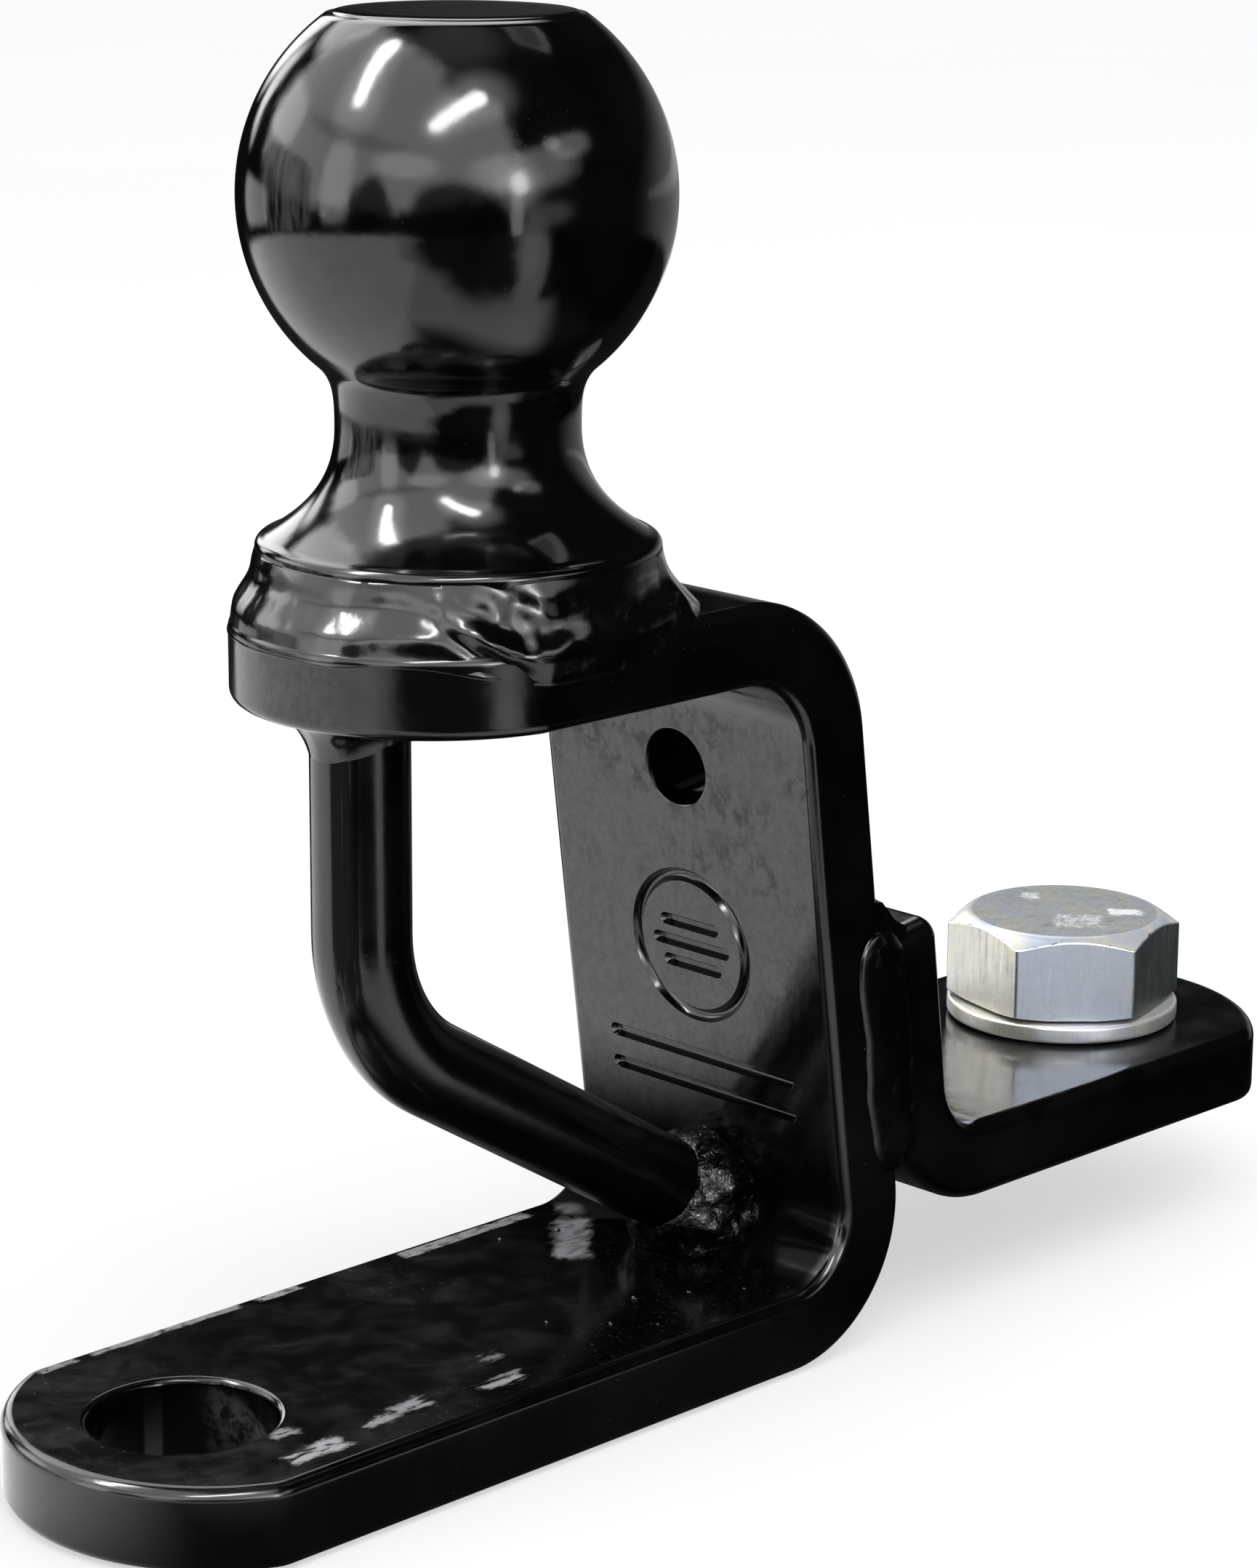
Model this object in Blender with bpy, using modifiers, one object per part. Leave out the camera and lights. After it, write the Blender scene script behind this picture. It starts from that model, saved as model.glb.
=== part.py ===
"""Trailer hitch with ball: a bent flat-bar hitch with a 1-7/8 in tow ball, a rod brace
and a bolted rear bracket.

Frame: metres, +Z up.  The origin is the point of the tongue's underside below the ball's
centre.  +X points to the vehicle (the mounting foot), the tongue points to -X, and the bar
is centred on y = 0.
"""

import math

import bmesh
import bpy
from mathutils import Matrix, Vector

MM = 0.001
GAP = 0.3 * MM                     # clearance between neighbouring solids

# Flat bar, 1-3/4 x 3/8 in
BAR_W = 44.45 * MM
BAR_T = 9.525 * MM
HALF_W = BAR_W / 2
BAR_EDGE = 0.9 * MM                # rolled edge radius

# C-shaped hitch frame, open to -X; the upright's inner face looks to -X
LEAN = 0.13                        # the upright's x falls by this much per unit of height
COS_LEAN = 1 / math.sqrt(1 + LEAN * LEAN)
UPRIGHT_INNER_X0 = 42.9 * MM       # inner face; X0 values are carried down to z = 0
UPRIGHT_OUTER_X0 = UPRIGHT_INNER_X0 + BAR_T / COS_LEAN
PLATE_TOP_Z = 93.0 * MM
PLATE_BOTTOM_Z = PLATE_TOP_Z - BAR_T
TOP_BEND_R = 19.3 * MM             # outside radius of the upper bend
LOW_BEND_R = 17.4 * MM             # outside radius of the lower bend
PLATE_END_X = -3.6 * MM            # centre of the plate's rounded end
PLATE_END_R = 22.55 * MM
PLATE_BLANK_X = -45 * MM           # plate's tip before its end is rounded
TONGUE_END_X = -35.2 * MM          # centre of the tongue's rounded end
TONGUE_END_R = 24.25 * MM
TONGUE_BLANK_X = -70 * MM          # tongue's tip before its end is rounded
TONGUE_HOLE_X = -40.9 * MM
TONGUE_HOLE_R = 10.35 * MM         # 13/16 in hole
TONGUE_HOLE_FLARE = 0.9 * MM
UPRIGHT_HOLE_Z = 68.7 * MM
UPRIGHT_HOLE_R = 4.55 * MM
SMALL_FLARE = 0.5 * MM             # rounded mouth of the upright's and the foot's holes

# Stamped mark on the upright's inner face
MARK_Z = 46.5 * MM
MARK_DEPTH = 0.7 * MM
MARK_RING_R = 9.4 * MM
MARK_RING_BORE_R = 8.3 * MM
MARK_SLOTS = (                     # name, place up the face, width, height (mm)
    ("mark_bar_a_cutter", 2.6, 9.0, 1.3),
    ("mark_bar_b_cutter", 0, 12.0, 1.3),
    ("mark_bar_c_cutter", -2.6, 9.0, 1.3),
    ("mark_long_a_cutter", -14.2, 30.0, 1.4),
    ("mark_long_b_cutter", -18.4, 30.0, 1.4),
)

# Ball
BALL_R = 23.8125 * MM              # 1-7/8 in ball
BALL_Z = 137.96 * MM
BALL_FLAT_Z = 157.6 * MM
BALL_STOP = math.radians(140)      # where the sphere ends, measured from the top
NECK_R = 13.45 * MM
NECK_Z = 113.0 * MM
FLANGE_R = 22.3 * MM
FLANGE_TOP_Z = 101.0 * MM
FLANGE_BOTTOM_Z = PLATE_TOP_Z + GAP

# Brace rod, 7/16 in
ROD_R = 5.556 * MM
ROD_SEAT_R = ROD_R + GAP           # bore of the beads round the rod
ROD_X = -14.6 * MM                 # axis of the vertical leg
ROD_TOP_Z = PLATE_BOTTOM_Z - GAP
ROD_BEND_R = 21.0 * MM             # centre-line radius
ROD_BEND_STEPS = 8
ROD_DROP = 0.611                   # fall of the sloping leg per unit of x
ROD_LINE_X = 1.14 * MM             # a point on the sloping leg's centre line
ROD_LINE_Z = 37.08 * MM
ROD_END_Z = 14.9 * MM
ROD_END = Vector((ROD_LINE_X + (ROD_LINE_Z - ROD_END_Z) / ROD_DROP, 0, ROD_END_Z))
ROD_AXIS = Vector((1, 0, -ROD_DROP)).normalized()      # direction of the sloping leg

# Rear bracket, same bar; its leg lies against the upright's outer face
LEG_INNER_X0 = UPRIGHT_OUTER_X0 + GAP / COS_LEAN       # face towards the upright
LEG_OUTER_X0 = LEG_INNER_X0 + BAR_T / COS_LEAN
LEG_TOP_Z = 50.8 * MM
LEG_TOP_R = 2.2 * MM
FOOT_BOTTOM_Z = 13.7 * MM
FOOT_TOP_Z = FOOT_BOTTOM_Z + BAR_T
BRACKET_BEND_R = 16.5 * MM
FOOT_END_X = 104.9 * MM            # centre of the foot's rounded end
FOOT_END_R = 25.5 * MM
FOOT_BLANK_X = 145 * MM            # foot's tip before its end is rounded
FOOT_HOLE_R = 8.73 * MM            # 11/16 in clearance hole

# Bolt, 5/8 in heavy hex, with a spring lock washer
BOLT_X = 105.8 * MM
BOLT_TURN = math.radians(16.7)     # direction of one corner of the head
WASHER_R = 14.9 * MM
WASHER_BORE_R = 8.35 * MM
WASHER_T = 2.2 * MM
WASHER_EDGE = 0.45 * MM
WASHER_LOW_Z = FOOT_TOP_Z + GAP
WASHER_TOP_Z = WASHER_LOW_Z + WASHER_T
WASHER_SPLIT = 1.6 * MM
SPLIT_PLACE = math.radians(38)     # direction of the split from the bolt's axis
SPLIT_SLANT = math.radians(22)
HEAD_AF = 26.2 * MM                # across flats
HEAD_H = 11.0 * MM
HEAD_LOW_Z = WASHER_TOP_Z + GAP
HEAD_TOP_Z = HEAD_LOW_Z + HEAD_H
SHANK_R = 7.9375 * MM
SHANK_L = 19.05 * MM
SHANK_OVERLAP = 3 * MM             # length of shank sunk in the head

# Smallest angle that shades sharp, in degrees
SHARP_BAR = 35
SHARP_TURNED = 50
SHARP_WELD = 60
SHARP_WASHER = 40
SHARP_BOLT = 30


# ---------------------------------------------------------------- scene and materials

for old in list(bpy.data.objects):
    bpy.data.objects.remove(old, do_unlink=True)

PARTS = bpy.data.collections.new("trailer_hitch")
CUTTERS = bpy.data.collections.new("cutters")
for collection in (PARTS, CUTTERS):
    bpy.context.scene.collection.children.link(collection)


def make_material(name, base_color, roughness, metallic):
    mat = bpy.data.materials.new(name)
    mat.use_nodes = True
    shader = mat.node_tree.nodes["Principled BSDF"]
    shader.inputs["Base Color"].default_value = base_color
    shader.inputs["Roughness"].default_value = roughness
    shader.inputs["Metallic"].default_value = metallic
    return mat


BLACK = make_material(
    "black_paint", base_color=(0.012, 0.012, 0.015, 1), roughness=0.22, metallic=0.0)
BLACK_WELD = make_material(
    "black_weld", base_color=(0.013, 0.013, 0.016, 1), roughness=0.20, metallic=0.0)
ZINC = make_material(
    "zinc_plate", base_color=(0.62, 0.64, 0.62, 1), roughness=0.32, metallic=1.0)
ZINC_WASHER = make_material(
    "zinc_washer", base_color=(0.66, 0.67, 0.62, 1), roughness=0.36, metallic=1.0)


# ---------------------------------------------------------------- object helpers

def new_object(name, data):
    obj = bpy.data.objects.new(name, data)
    bpy.context.scene.collection.objects.link(obj)
    return obj


def move_to(obj, collection):
    for owner in list(obj.users_collection):
        owner.objects.unlink(obj)
    collection.objects.link(obj)


def as_part(obj, mat, sharp):
    move_to(obj, PARTS)
    obj.data.materials.clear()
    obj.data.materials.append(mat)
    obj.data.shade_smooth()
    obj.data.set_sharp_from_angle(angle=math.radians(sharp))
    return obj


def as_cutter(obj):
    move_to(obj, CUTTERS)
    obj.hide_render = True
    obj.display_type = "WIRE"
    return obj


def from_bmesh(name, bm):
    bmesh.ops.recalc_face_normals(bm, faces=bm.faces)
    mesh = bpy.data.meshes.new(name)
    bm.to_mesh(mesh)
    bm.free()
    return new_object(name, mesh)


def evaluated_mesh(obj):
    bpy.context.view_layer.update()
    deps = bpy.context.evaluated_depsgraph_get()
    return bpy.data.meshes.new_from_object(obj.evaluated_get(deps))


def bake(obj):
    """The evaluated mesh takes the place of the object's mesh and modifiers."""
    mesh = evaluated_mesh(obj)
    mesh.transform(obj.matrix_world)
    obj.modifiers.clear()
    obj.data = mesh
    obj.matrix_world = Matrix.Identity(4)
    return obj


def curve_to_mesh(curve_obj, name):
    """A curve's evaluated mesh as an object of its own, with its caps welded."""
    mesh = evaluated_mesh(curve_obj)
    matrix = curve_obj.matrix_world.copy()
    bpy.data.objects.remove(curve_obj, do_unlink=True)
    bm = bmesh.new()
    bm.from_mesh(mesh)
    bpy.data.meshes.remove(mesh)
    bmesh.ops.remove_doubles(bm, verts=bm.verts, dist=1e-6)
    bmesh.ops.dissolve_limit(
        bm, angle_limit=0.0005, verts=bm.verts, edges=bm.edges, delimit=set())
    obj = from_bmesh(name, bm)
    obj.data.transform(matrix)
    return obj


def add_poly_spline(curve, points):
    spline = curve.splines.new("POLY")
    spline.points.add(len(points) - 1)
    for point, place in zip(spline.points, points):
        point.co = (*place, 1)
    return spline


def flat_outline(name, points, thickness, matrix=None):
    """A flat outline in its own XY plane, extruded by the thickness about that plane."""
    curve = bpy.data.curves.new(name, "CURVE")
    curve.dimensions = "2D"
    curve.fill_mode = "BOTH"
    curve.extrude = thickness / 2
    spline = add_poly_spline(curve, [(x, y, 0) for x, y in points])
    spline.use_cyclic_u = True
    obj = new_object(name, curve)
    if matrix is not None:
        obj.matrix_world = matrix
    return curve_to_mesh(obj, name)


def side_profile(name, points, width):
    """An outline of (x, z) points, extruded across y by the width."""
    return flat_outline(name, points, width, Matrix.Rotation(math.pi / 2, 4, "X"))


def plan_outline(name, points, z_low, z_high):
    middle = Matrix.Translation((0, 0, (z_low + z_high) / 2))
    return flat_outline(name, points, z_high - z_low, middle)


def turned(name, profile, steps):
    """A profile of (r, z) points, from top to bottom on its outer side, turned about Z."""
    mesh = bpy.data.meshes.new(name)
    edges = [(i, i + 1) for i in range(len(profile) - 1)]
    mesh.from_pydata([(r, 0, z) for r, z in profile], edges, [])
    obj = new_object(name, mesh)
    screw = obj.modifiers.new("turn", "SCREW")
    screw.axis = "Z"
    screw.steps = steps
    screw.render_steps = steps
    screw.use_merge_vertices = True
    screw.merge_threshold = 0.00001
    return obj


def turned_cutter(name, profile, steps):
    return as_cutter(bake(turned(name, profile, steps)))


def loft(name, rings, closed):
    """Skin through rings of equal length; the ends are capped when the loft isn't closed."""
    bm = bmesh.new()
    verts = [[bm.verts.new(p) for p in ring] for ring in rings]
    size = len(rings[0])
    count = len(rings)
    for i in range(count if closed else count - 1):
        here, following = verts[i], verts[(i + 1) % count]
        for j in range(size):
            k = (j + 1) % size
            bm.faces.new((here[j], here[k], following[k], following[j]))
    if not closed:
        bm.faces.new(verts[0])
        bm.faces.new(verts[-1])
    return from_bmesh(name, bm)


def cut(obj, cutter, operation="DIFFERENCE"):
    mod = obj.modifiers.new(operation.lower() + "_" + cutter.name, "BOOLEAN")
    mod.operation = operation
    mod.solver = "EXACT"
    mod.object = cutter


def round_edges(obj):
    """Gives the bar its rolled edges."""
    mod = obj.modifiers.new("edges", "BEVEL")
    mod.width = BAR_EDGE
    mod.segments = 2
    mod.limit_method = "ANGLE"
    mod.angle_limit = math.radians(40)
    mod.use_clamp_overlap = True
    return bake(obj)


def keep_largest(obj):
    """Drops the slivers that a cut leaves beside the main body."""
    bake(obj)
    bm = bmesh.new()
    bm.from_mesh(obj.data)
    left = set(bm.verts)
    islands = []
    while left:
        stack = [left.pop()]
        island = set(stack)
        while stack:
            for edge in stack.pop().link_edges:
                for vert in edge.verts:
                    if vert in left:
                        left.discard(vert)
                        island.add(vert)
                        stack.append(vert)
        islands.append(island)
    largest = max(islands, key=len)
    slivers = [vert for vert in bm.verts if vert not in largest]
    bmesh.ops.delete(bm, geom=slivers, context="VERTS")
    bm.to_mesh(obj.data)
    bm.free()


def trimmed_weld(bead, *cutters):
    """A bead cut clear of its neighbours."""
    for cutter in cutters:
        cut(bead, cutter)
    keep_largest(bead)
    return as_part(bead, BLACK_WELD, SHARP_WELD)


# ---------------------------------------------------------------- outline helpers

def lean_x(x0, z):
    """x at height z of a line parallel to the upright that meets z = 0 at x0."""
    return x0 - LEAN * z


def unit_clamp(value):
    return max(0.0, min(1.0, value))


def fillet_path(corners, step=math.radians(9)):
    """A closed outline of (x, z, radius) corners with each corner rounded by its radius."""
    out = []
    count = len(corners)
    for i, (x, z, radius) in enumerate(corners):
        if radius <= 0:
            out.append((x, z))
            continue
        corner = Vector((x, z))
        back = (Vector(corners[i - 1][:2]) - corner).normalized()
        ahead = (Vector(corners[(i + 1) % count][:2]) - corner).normalized()
        inner = back.angle(ahead)
        reach = radius / math.tan(inner / 2)
        centre = corner + (back + ahead).normalized() * (radius / math.sin(inner / 2))
        start = corner + back * reach - centre
        end = corner + ahead * reach - centre
        turn = math.pi - inner
        sign = 1 if start.x * end.y - start.y * end.x > 0 else -1
        steps = max(2, round(turn / step))
        first = math.atan2(start.y, start.x)
        for k in range(steps + 1):
            angle = first + sign * turn * k / steps
            out.append((centre.x + radius * math.cos(angle),
                        centre.y + radius * math.sin(angle)))
    return out


def bezier(start, start_handle, end_handle, end, count):
    """Points of a cubic Bezier curve after its start."""
    out = []
    for k in range(1, count + 1):
        t = k / count
        weights = (1 - t) ** 3, 3 * t * (1 - t) ** 2, 3 * t * t * (1 - t), t ** 3
        out.append(tuple(sum(w * value for w, value in zip(weights, values))
                         for values in zip(start, start_handle, end_handle, end)))
    return out


def end_cutter(name, centre_x, radius, direction, z_low, z_high):
    """The space outside a bar's rounded end; direction is -1 or +1 along x."""
    arc_half_w = 24.6 * MM         # the arc runs at least past the bar's two sides
    cutter_half_w = 40 * MM
    cutter_reach = 60 * MM
    steps = 24
    half_arc = math.asin(min(1.0, arc_half_w / radius))
    arc = []
    for k in range(steps + 1):
        angle = -half_arc + 2 * half_arc * k / steps
        arc.append((centre_x + direction * radius * math.cos(angle), radius * math.sin(angle)))
    near = arc[0][0]
    far = centre_x + direction * cutter_reach
    outline = arc + [(near, cutter_half_w), (far, cutter_half_w),
                     (far, -cutter_half_w), (near, -cutter_half_w)]
    return as_cutter(plan_outline(name, outline, z_low, z_high))


def hole_cutter(name, radius, flare, steps):
    """A bore through the bar with a rounded mouth at both faces, centred on the origin."""
    half = BAR_T / 2
    overrun_z = half + 3 * MM
    upper = [(0, overrun_z), (radius + flare, overrun_z)]
    for k in (3, 2, 1, 0):
        angle = math.pi / 2 * k / 3
        upper.append((radius + flare * (1 - math.cos(angle)),
                      half - flare * (1 - math.sin(angle))))
    lower = [(r, -z) for r, z in reversed(upper)]
    return turned_cutter(name, upper + lower, steps)


# ---------------------------------------------------------------- hitch frame

def build_hitch_frame():
    outline = fillet_path([
        (TONGUE_BLANK_X, 0, 0),
        (UPRIGHT_OUTER_X0, 0, LOW_BEND_R),
        (lean_x(UPRIGHT_OUTER_X0, PLATE_TOP_Z), PLATE_TOP_Z, TOP_BEND_R),
        (PLATE_BLANK_X, PLATE_TOP_Z, 0),
        (PLATE_BLANK_X, PLATE_BOTTOM_Z, 0),
        (lean_x(UPRIGHT_INNER_X0, PLATE_BOTTOM_Z), PLATE_BOTTOM_Z, TOP_BEND_R - BAR_T),
        (lean_x(UPRIGHT_INNER_X0, BAR_T), BAR_T, LOW_BEND_R - BAR_T),
        (TONGUE_BLANK_X, BAR_T, 0),
    ])
    frame = side_profile("hitch_frame", outline, BAR_W)
    cut(frame, end_cutter("tongue_end_cutter", TONGUE_END_X, TONGUE_END_R, -1,
                          z_low=-20 * MM, z_high=30 * MM))
    cut(frame, end_cutter("plate_end_cutter", PLATE_END_X, PLATE_END_R, -1,
                          z_low=70 * MM, z_high=120 * MM))
    round_edges(frame)

    tongue_hole = hole_cutter("tongue_hole_cutter", TONGUE_HOLE_R, TONGUE_HOLE_FLARE, 40)
    tongue_hole.location = (TONGUE_HOLE_X, 0, BAR_T / 2)
    cut(frame, tongue_hole)

    upright_hole = hole_cutter("upright_hole_cutter", UPRIGHT_HOLE_R, SMALL_FLARE, 24)
    mid_bar = Matrix.Translation((0, 0, -BAR_T / 2))
    upright_hole.matrix_world = upright_face(UPRIGHT_HOLE_Z) @ mid_bar
    cut(frame, upright_hole)

    for mark in mark_cutters():
        cut(frame, mark)
    return as_part(frame, BLACK, SHARP_BAR)


def upright_face(z):
    """Frame on the upright's inner face: X across the bar, Y up the face, Z out of it."""
    up = Vector((-LEAN, 0, 1)).normalized()
    out = Vector((-1, 0, -LEAN)).normalized()
    across = up.cross(out)
    matrix = Matrix((across, up, out)).transposed().to_4x4()
    matrix.translation = Vector((lean_x(UPRIGHT_INNER_X0, z), 0, z))
    return matrix


def mark_cutters():
    """A plain stamped mark: a ring around three short bars, over two long bars."""
    face = upright_face(MARK_Z)
    ring = turned_cutter("mark_ring_cutter", [
        (MARK_RING_R, MARK_DEPTH),
        (MARK_RING_R, -MARK_DEPTH),
        (MARK_RING_BORE_R, -MARK_DEPTH),
        (MARK_RING_BORE_R, MARK_DEPTH),
        (MARK_RING_R, MARK_DEPTH),
    ], 40)
    ring.matrix_world = face
    made = [ring]
    for name, up, width, height in MARK_SLOTS:
        half_w = width * MM / 2
        half_h = height * MM / 2
        radius = half_h * 0.98     # just short of a full round end
        outline = fillet_path([
            (-half_w, -half_h, radius), (half_w, -half_h, radius),
            (half_w, half_h, radius), (-half_w, half_h, radius),
        ], math.radians(30))
        slot = flat_outline(name, outline, 2 * MARK_DEPTH)
        slot.matrix_world = face @ Matrix.Translation((0, up * MM, 0))
        made.append(as_cutter(slot))
    return made


# ---------------------------------------------------------------- ball

def build_ball():
    flat_edge = math.acos((BALL_FLAT_Z - BALL_Z) / BALL_R)
    flat_r = BALL_R * math.sin(flat_edge)
    profile = [
        (0, BALL_FLAT_Z),
        (flat_r - 0.7 * MM, BALL_FLAT_Z),
        (flat_r - 0.15 * MM, BALL_FLAT_Z - 0.12 * MM),
    ]
    start = flat_edge + math.radians(1.2)
    steps = 18
    for k in range(steps + 1):
        angle = start + (BALL_STOP - start) * k / steps
        profile.append((BALL_R * math.sin(angle), BALL_Z + BALL_R * math.cos(angle)))

    # underside of the ball into the neck, then the neck into the flange
    r, z = profile[-1]
    handle = 2.4 * MM
    tangent_end = (r + handle * math.cos(BALL_STOP), z - handle * math.sin(BALL_STOP))
    neck = (NECK_R, NECK_Z)
    profile += bezier((r, z), tangent_end, (NECK_R, NECK_Z + 2.8 * MM), neck, 4)
    profile += bezier(neck, (NECK_R, NECK_Z - 6.2 * MM), (17.0 * MM, FLANGE_TOP_Z + 2.6 * MM),
                      (FLANGE_R - 0.5 * MM, FLANGE_TOP_Z), 6)
    profile += [
        (FLANGE_R - 0.12 * MM, FLANGE_TOP_Z - 0.3 * MM),
        (FLANGE_R, FLANGE_TOP_Z - 0.8 * MM),
        (FLANGE_R, FLANGE_BOTTOM_Z),
        (0, FLANGE_BOTTOM_Z),
    ]
    return as_part(turned("tow_ball", profile, 48), BLACK, SHARP_TURNED)


# ---------------------------------------------------------------- weld beads

RIPPLE_WAVES = ((3, 0.34), (7, 0.26), (13, 0.22), (23, 0.18))    # waves per turn, amount
RIPPLE_SEED_PHASE = 1.7            # phase added per unit of seed
RIPPLE_WAVE_PHASE = 2.399          # phase added from one wave to the next


def ripple(u, seed):
    """Smooth, repeatable unevenness in -1..1 along a bead; u runs 0..1 round or along it."""
    total = 0.0
    for k, (freq, amount) in enumerate(RIPPLE_WAVES):
        phase = (seed * RIPPLE_SEED_PHASE + k * RIPPLE_WAVE_PHASE) % (2 * math.pi)
        total += amount * math.sin(2 * math.pi * freq * u + phase)
    return total


def build_ball_weld():
    """Bead from the flange's rim down onto the plate, its rounded end and its two sides."""
    blend_start, blend_length = 25.5 * MM, 5 * MM      # edge distance over which it flattens
    side_span = 0.12               # range of |sin| over which the bead swells at the sides
    foot_max_r = 27.0 * MM
    flat_foot_r = 26.6 * MM        # foot of the bead where it lies on the plate
    top_r = FLANGE_R + 0.05 * MM
    top_z = FLANGE_TOP_Z - 0.75 * MM
    count = 60
    rings = []
    for i in range(count):
        u = i / count
        cos_a = math.cos(2 * math.pi * u)
        sin_a = math.sin(2 * math.pi * u)
        # distance from the ball's axis to the plate's edge in this direction
        edge = HALF_W / max(abs(sin_a), 1e-6)
        if cos_a < 0:
            half_chord = math.sqrt(PLATE_END_R ** 2 - (PLATE_END_X * sin_a) ** 2)
            edge = min(edge, PLATE_END_X * cos_a + half_chord)
            on_plate = 0.0
        else:
            on_plate = unit_clamp((edge - blend_start) / blend_length)
        off_plate = 1 - on_plate
        side = unit_clamp(1 - (1 - abs(sin_a)) / side_span)
        wave = ripple(u, 1)
        foot_wave = ripple(u, 4)

        edge_foot_r = min(edge, foot_max_r) + (0.35 + 0.55 * side) * MM
        foot_r = off_plate * edge_foot_r + on_plate * (flat_foot_r + 0.3 * MM * wave)
        if on_plate > 0:
            foot_z = PLATE_TOP_Z - 0.1 * MM
        else:
            foot_z = PLATE_TOP_Z - (1.9 + 2.6 * side - 0.6 * wave) * MM

        section = [(FLANGE_R - 2 * MM, top_z), (top_r, top_z)]
        bulge = (0.1 + 0.9 * side) * off_plate - on_plate      # hollow on the plate
        for f in (0.3, 0.55, 0.8, 1.0):
            base = top_r + (foot_r - top_r) * f
            hump = math.sin(math.pi * min(1.0, f * 1.02)) * bulge * MM
            lump = wave * math.sin(math.pi * f) * 0.45 + foot_wave * f * (1.05 - f) * 1.3
            lump *= MM * (1 - 0.6 * on_plate)
            section.append((base + hump + lump, top_z - (top_z - foot_z) * f))
        section.append((foot_r - 1.2 * MM, foot_z - (0.9 * off_plate + 0.3) * MM))
        section.append((16 * MM, PLATE_TOP_Z - 2.5 * MM))
        rings.append([(r * cos_a, r * sin_a, z) for r, z in section])

    bead = loft("ball_weld", rings, True)
    core_r = FLANGE_R + GAP
    core_top_z = FLANGE_TOP_Z + 6 * MM
    core_low_z = PLATE_TOP_Z - 6 * MM
    core = turned_cutter("ball_weld_flange_cutter", [
        (0, core_top_z), (core_r, core_top_z), (core_r, core_low_z), (0, core_low_z)], 64)
    return trimmed_weld(bead, core, plate_clearance())


def plate_clearance():
    """The plate's end grown by the gap on every side, with the same rolled edges."""
    radius = PLATE_END_R + GAP
    half = HALF_W + GAP
    inboard_x = 45 * MM
    half_arc = math.asin(half / radius)
    steps = 30
    outline = [(inboard_x, half)]
    for k in range(steps + 1):
        angle = math.pi - half_arc + 2 * half_arc * k / steps
        outline.append((PLATE_END_X + radius * math.cos(angle), radius * math.sin(angle)))
    outline.append((inboard_x, -half))
    plate = plan_outline("ball_weld_plate_cutter", outline,
                         PLATE_BOTTOM_Z - GAP, PLATE_TOP_Z + GAP)
    return as_cutter(round_edges(plate))


# ---------------------------------------------------------------- brace rod

def rod_points():
    """Centre line: down the vertical leg, round the bend and along the sloping leg."""
    turn = math.acos(ROD_AXIS.dot(Vector((0, 0, -1))))
    corner_z = ROD_LINE_Z - ROD_DROP * (ROD_X - ROD_LINE_X)
    reach = ROD_BEND_R * math.tan(turn / 2)
    centre = Vector((ROD_X + ROD_BEND_R, 0, corner_z + reach))
    points = [Vector((ROD_X, 0, ROD_TOP_Z))]
    for k in range(ROD_BEND_STEPS + 1):
        angle = math.pi + turn * k / ROD_BEND_STEPS
        points.append(centre + Vector((math.cos(angle), 0, math.sin(angle))) * ROD_BEND_R)
    return points + [ROD_END]


def build_rod():
    curve = bpy.data.curves.new("brace_rod", "CURVE")
    curve.dimensions = "3D"
    curve.bevel_depth = ROD_R
    curve.bevel_resolution = 10
    curve.use_fill_caps = True
    add_poly_spline(curve, rod_points())
    rod = curve_to_mesh(new_object("brace_rod", curve), "brace_rod")
    return as_part(rod, BLACK, SHARP_TURNED)


def build_rod_upper_weld():
    """Fillet between the plate's underside and the rod, heaviest on the -X side."""
    heavy_side = math.radians(200)
    count = 32
    rings = []
    for i in range(count):
        u = i / count
        turn = 2 * math.pi * u
        size = 0.42 + 0.58 * max(0.0, math.cos(turn - heavy_side)) ** 0.8
        wave = ripple(u, 7) * 0.25 * MM
        reach_r = (1.5 + 2.2 * size) * MM
        reach_z = (1.8 + 4.6 * size) * MM
        low_z = ROD_TOP_Z - reach_z
        section = [(ROD_SEAT_R, ROD_TOP_Z), (ROD_SEAT_R + reach_r + wave, ROD_TOP_Z)]
        for f in (0.2, 0.5, 0.8):
            angle = f * math.pi / 2
            r = ROD_SEAT_R + reach_r * (1 - math.sin(angle)) + (0.35 * MM + wave) * (1 - f)
            z = ROD_TOP_Z - reach_z * (1 - math.cos(angle)) - 0.5 * MM * f
            section.append((r, z))
        section += [(ROD_SEAT_R + 0.25 * MM, low_z), (ROD_SEAT_R, low_z - 0.1 * MM)]
        rings.append([(ROD_X + r * math.cos(turn), r * math.sin(turn), z) for r, z in section])
    return as_part(loft("rod_upper_weld", rings, True), BLACK_WELD, SHARP_WELD)


# Outer skin of the lower bead: distance past the rod's end, height over the bore (mm)
LOWER_WELD_ROWS = (
    (-6.0, 0), (-5.8, 0.7), (-4.2, 1.7), (-2.2, 2.5),
    (-0.2, 2.9), (1.8, 3.1), (3.6, 3.3), (6.0, 2.6),
)
LOWER_WELD_CORE_R = 1.2 * MM       # small bore left along the axis past the rod's end


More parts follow.
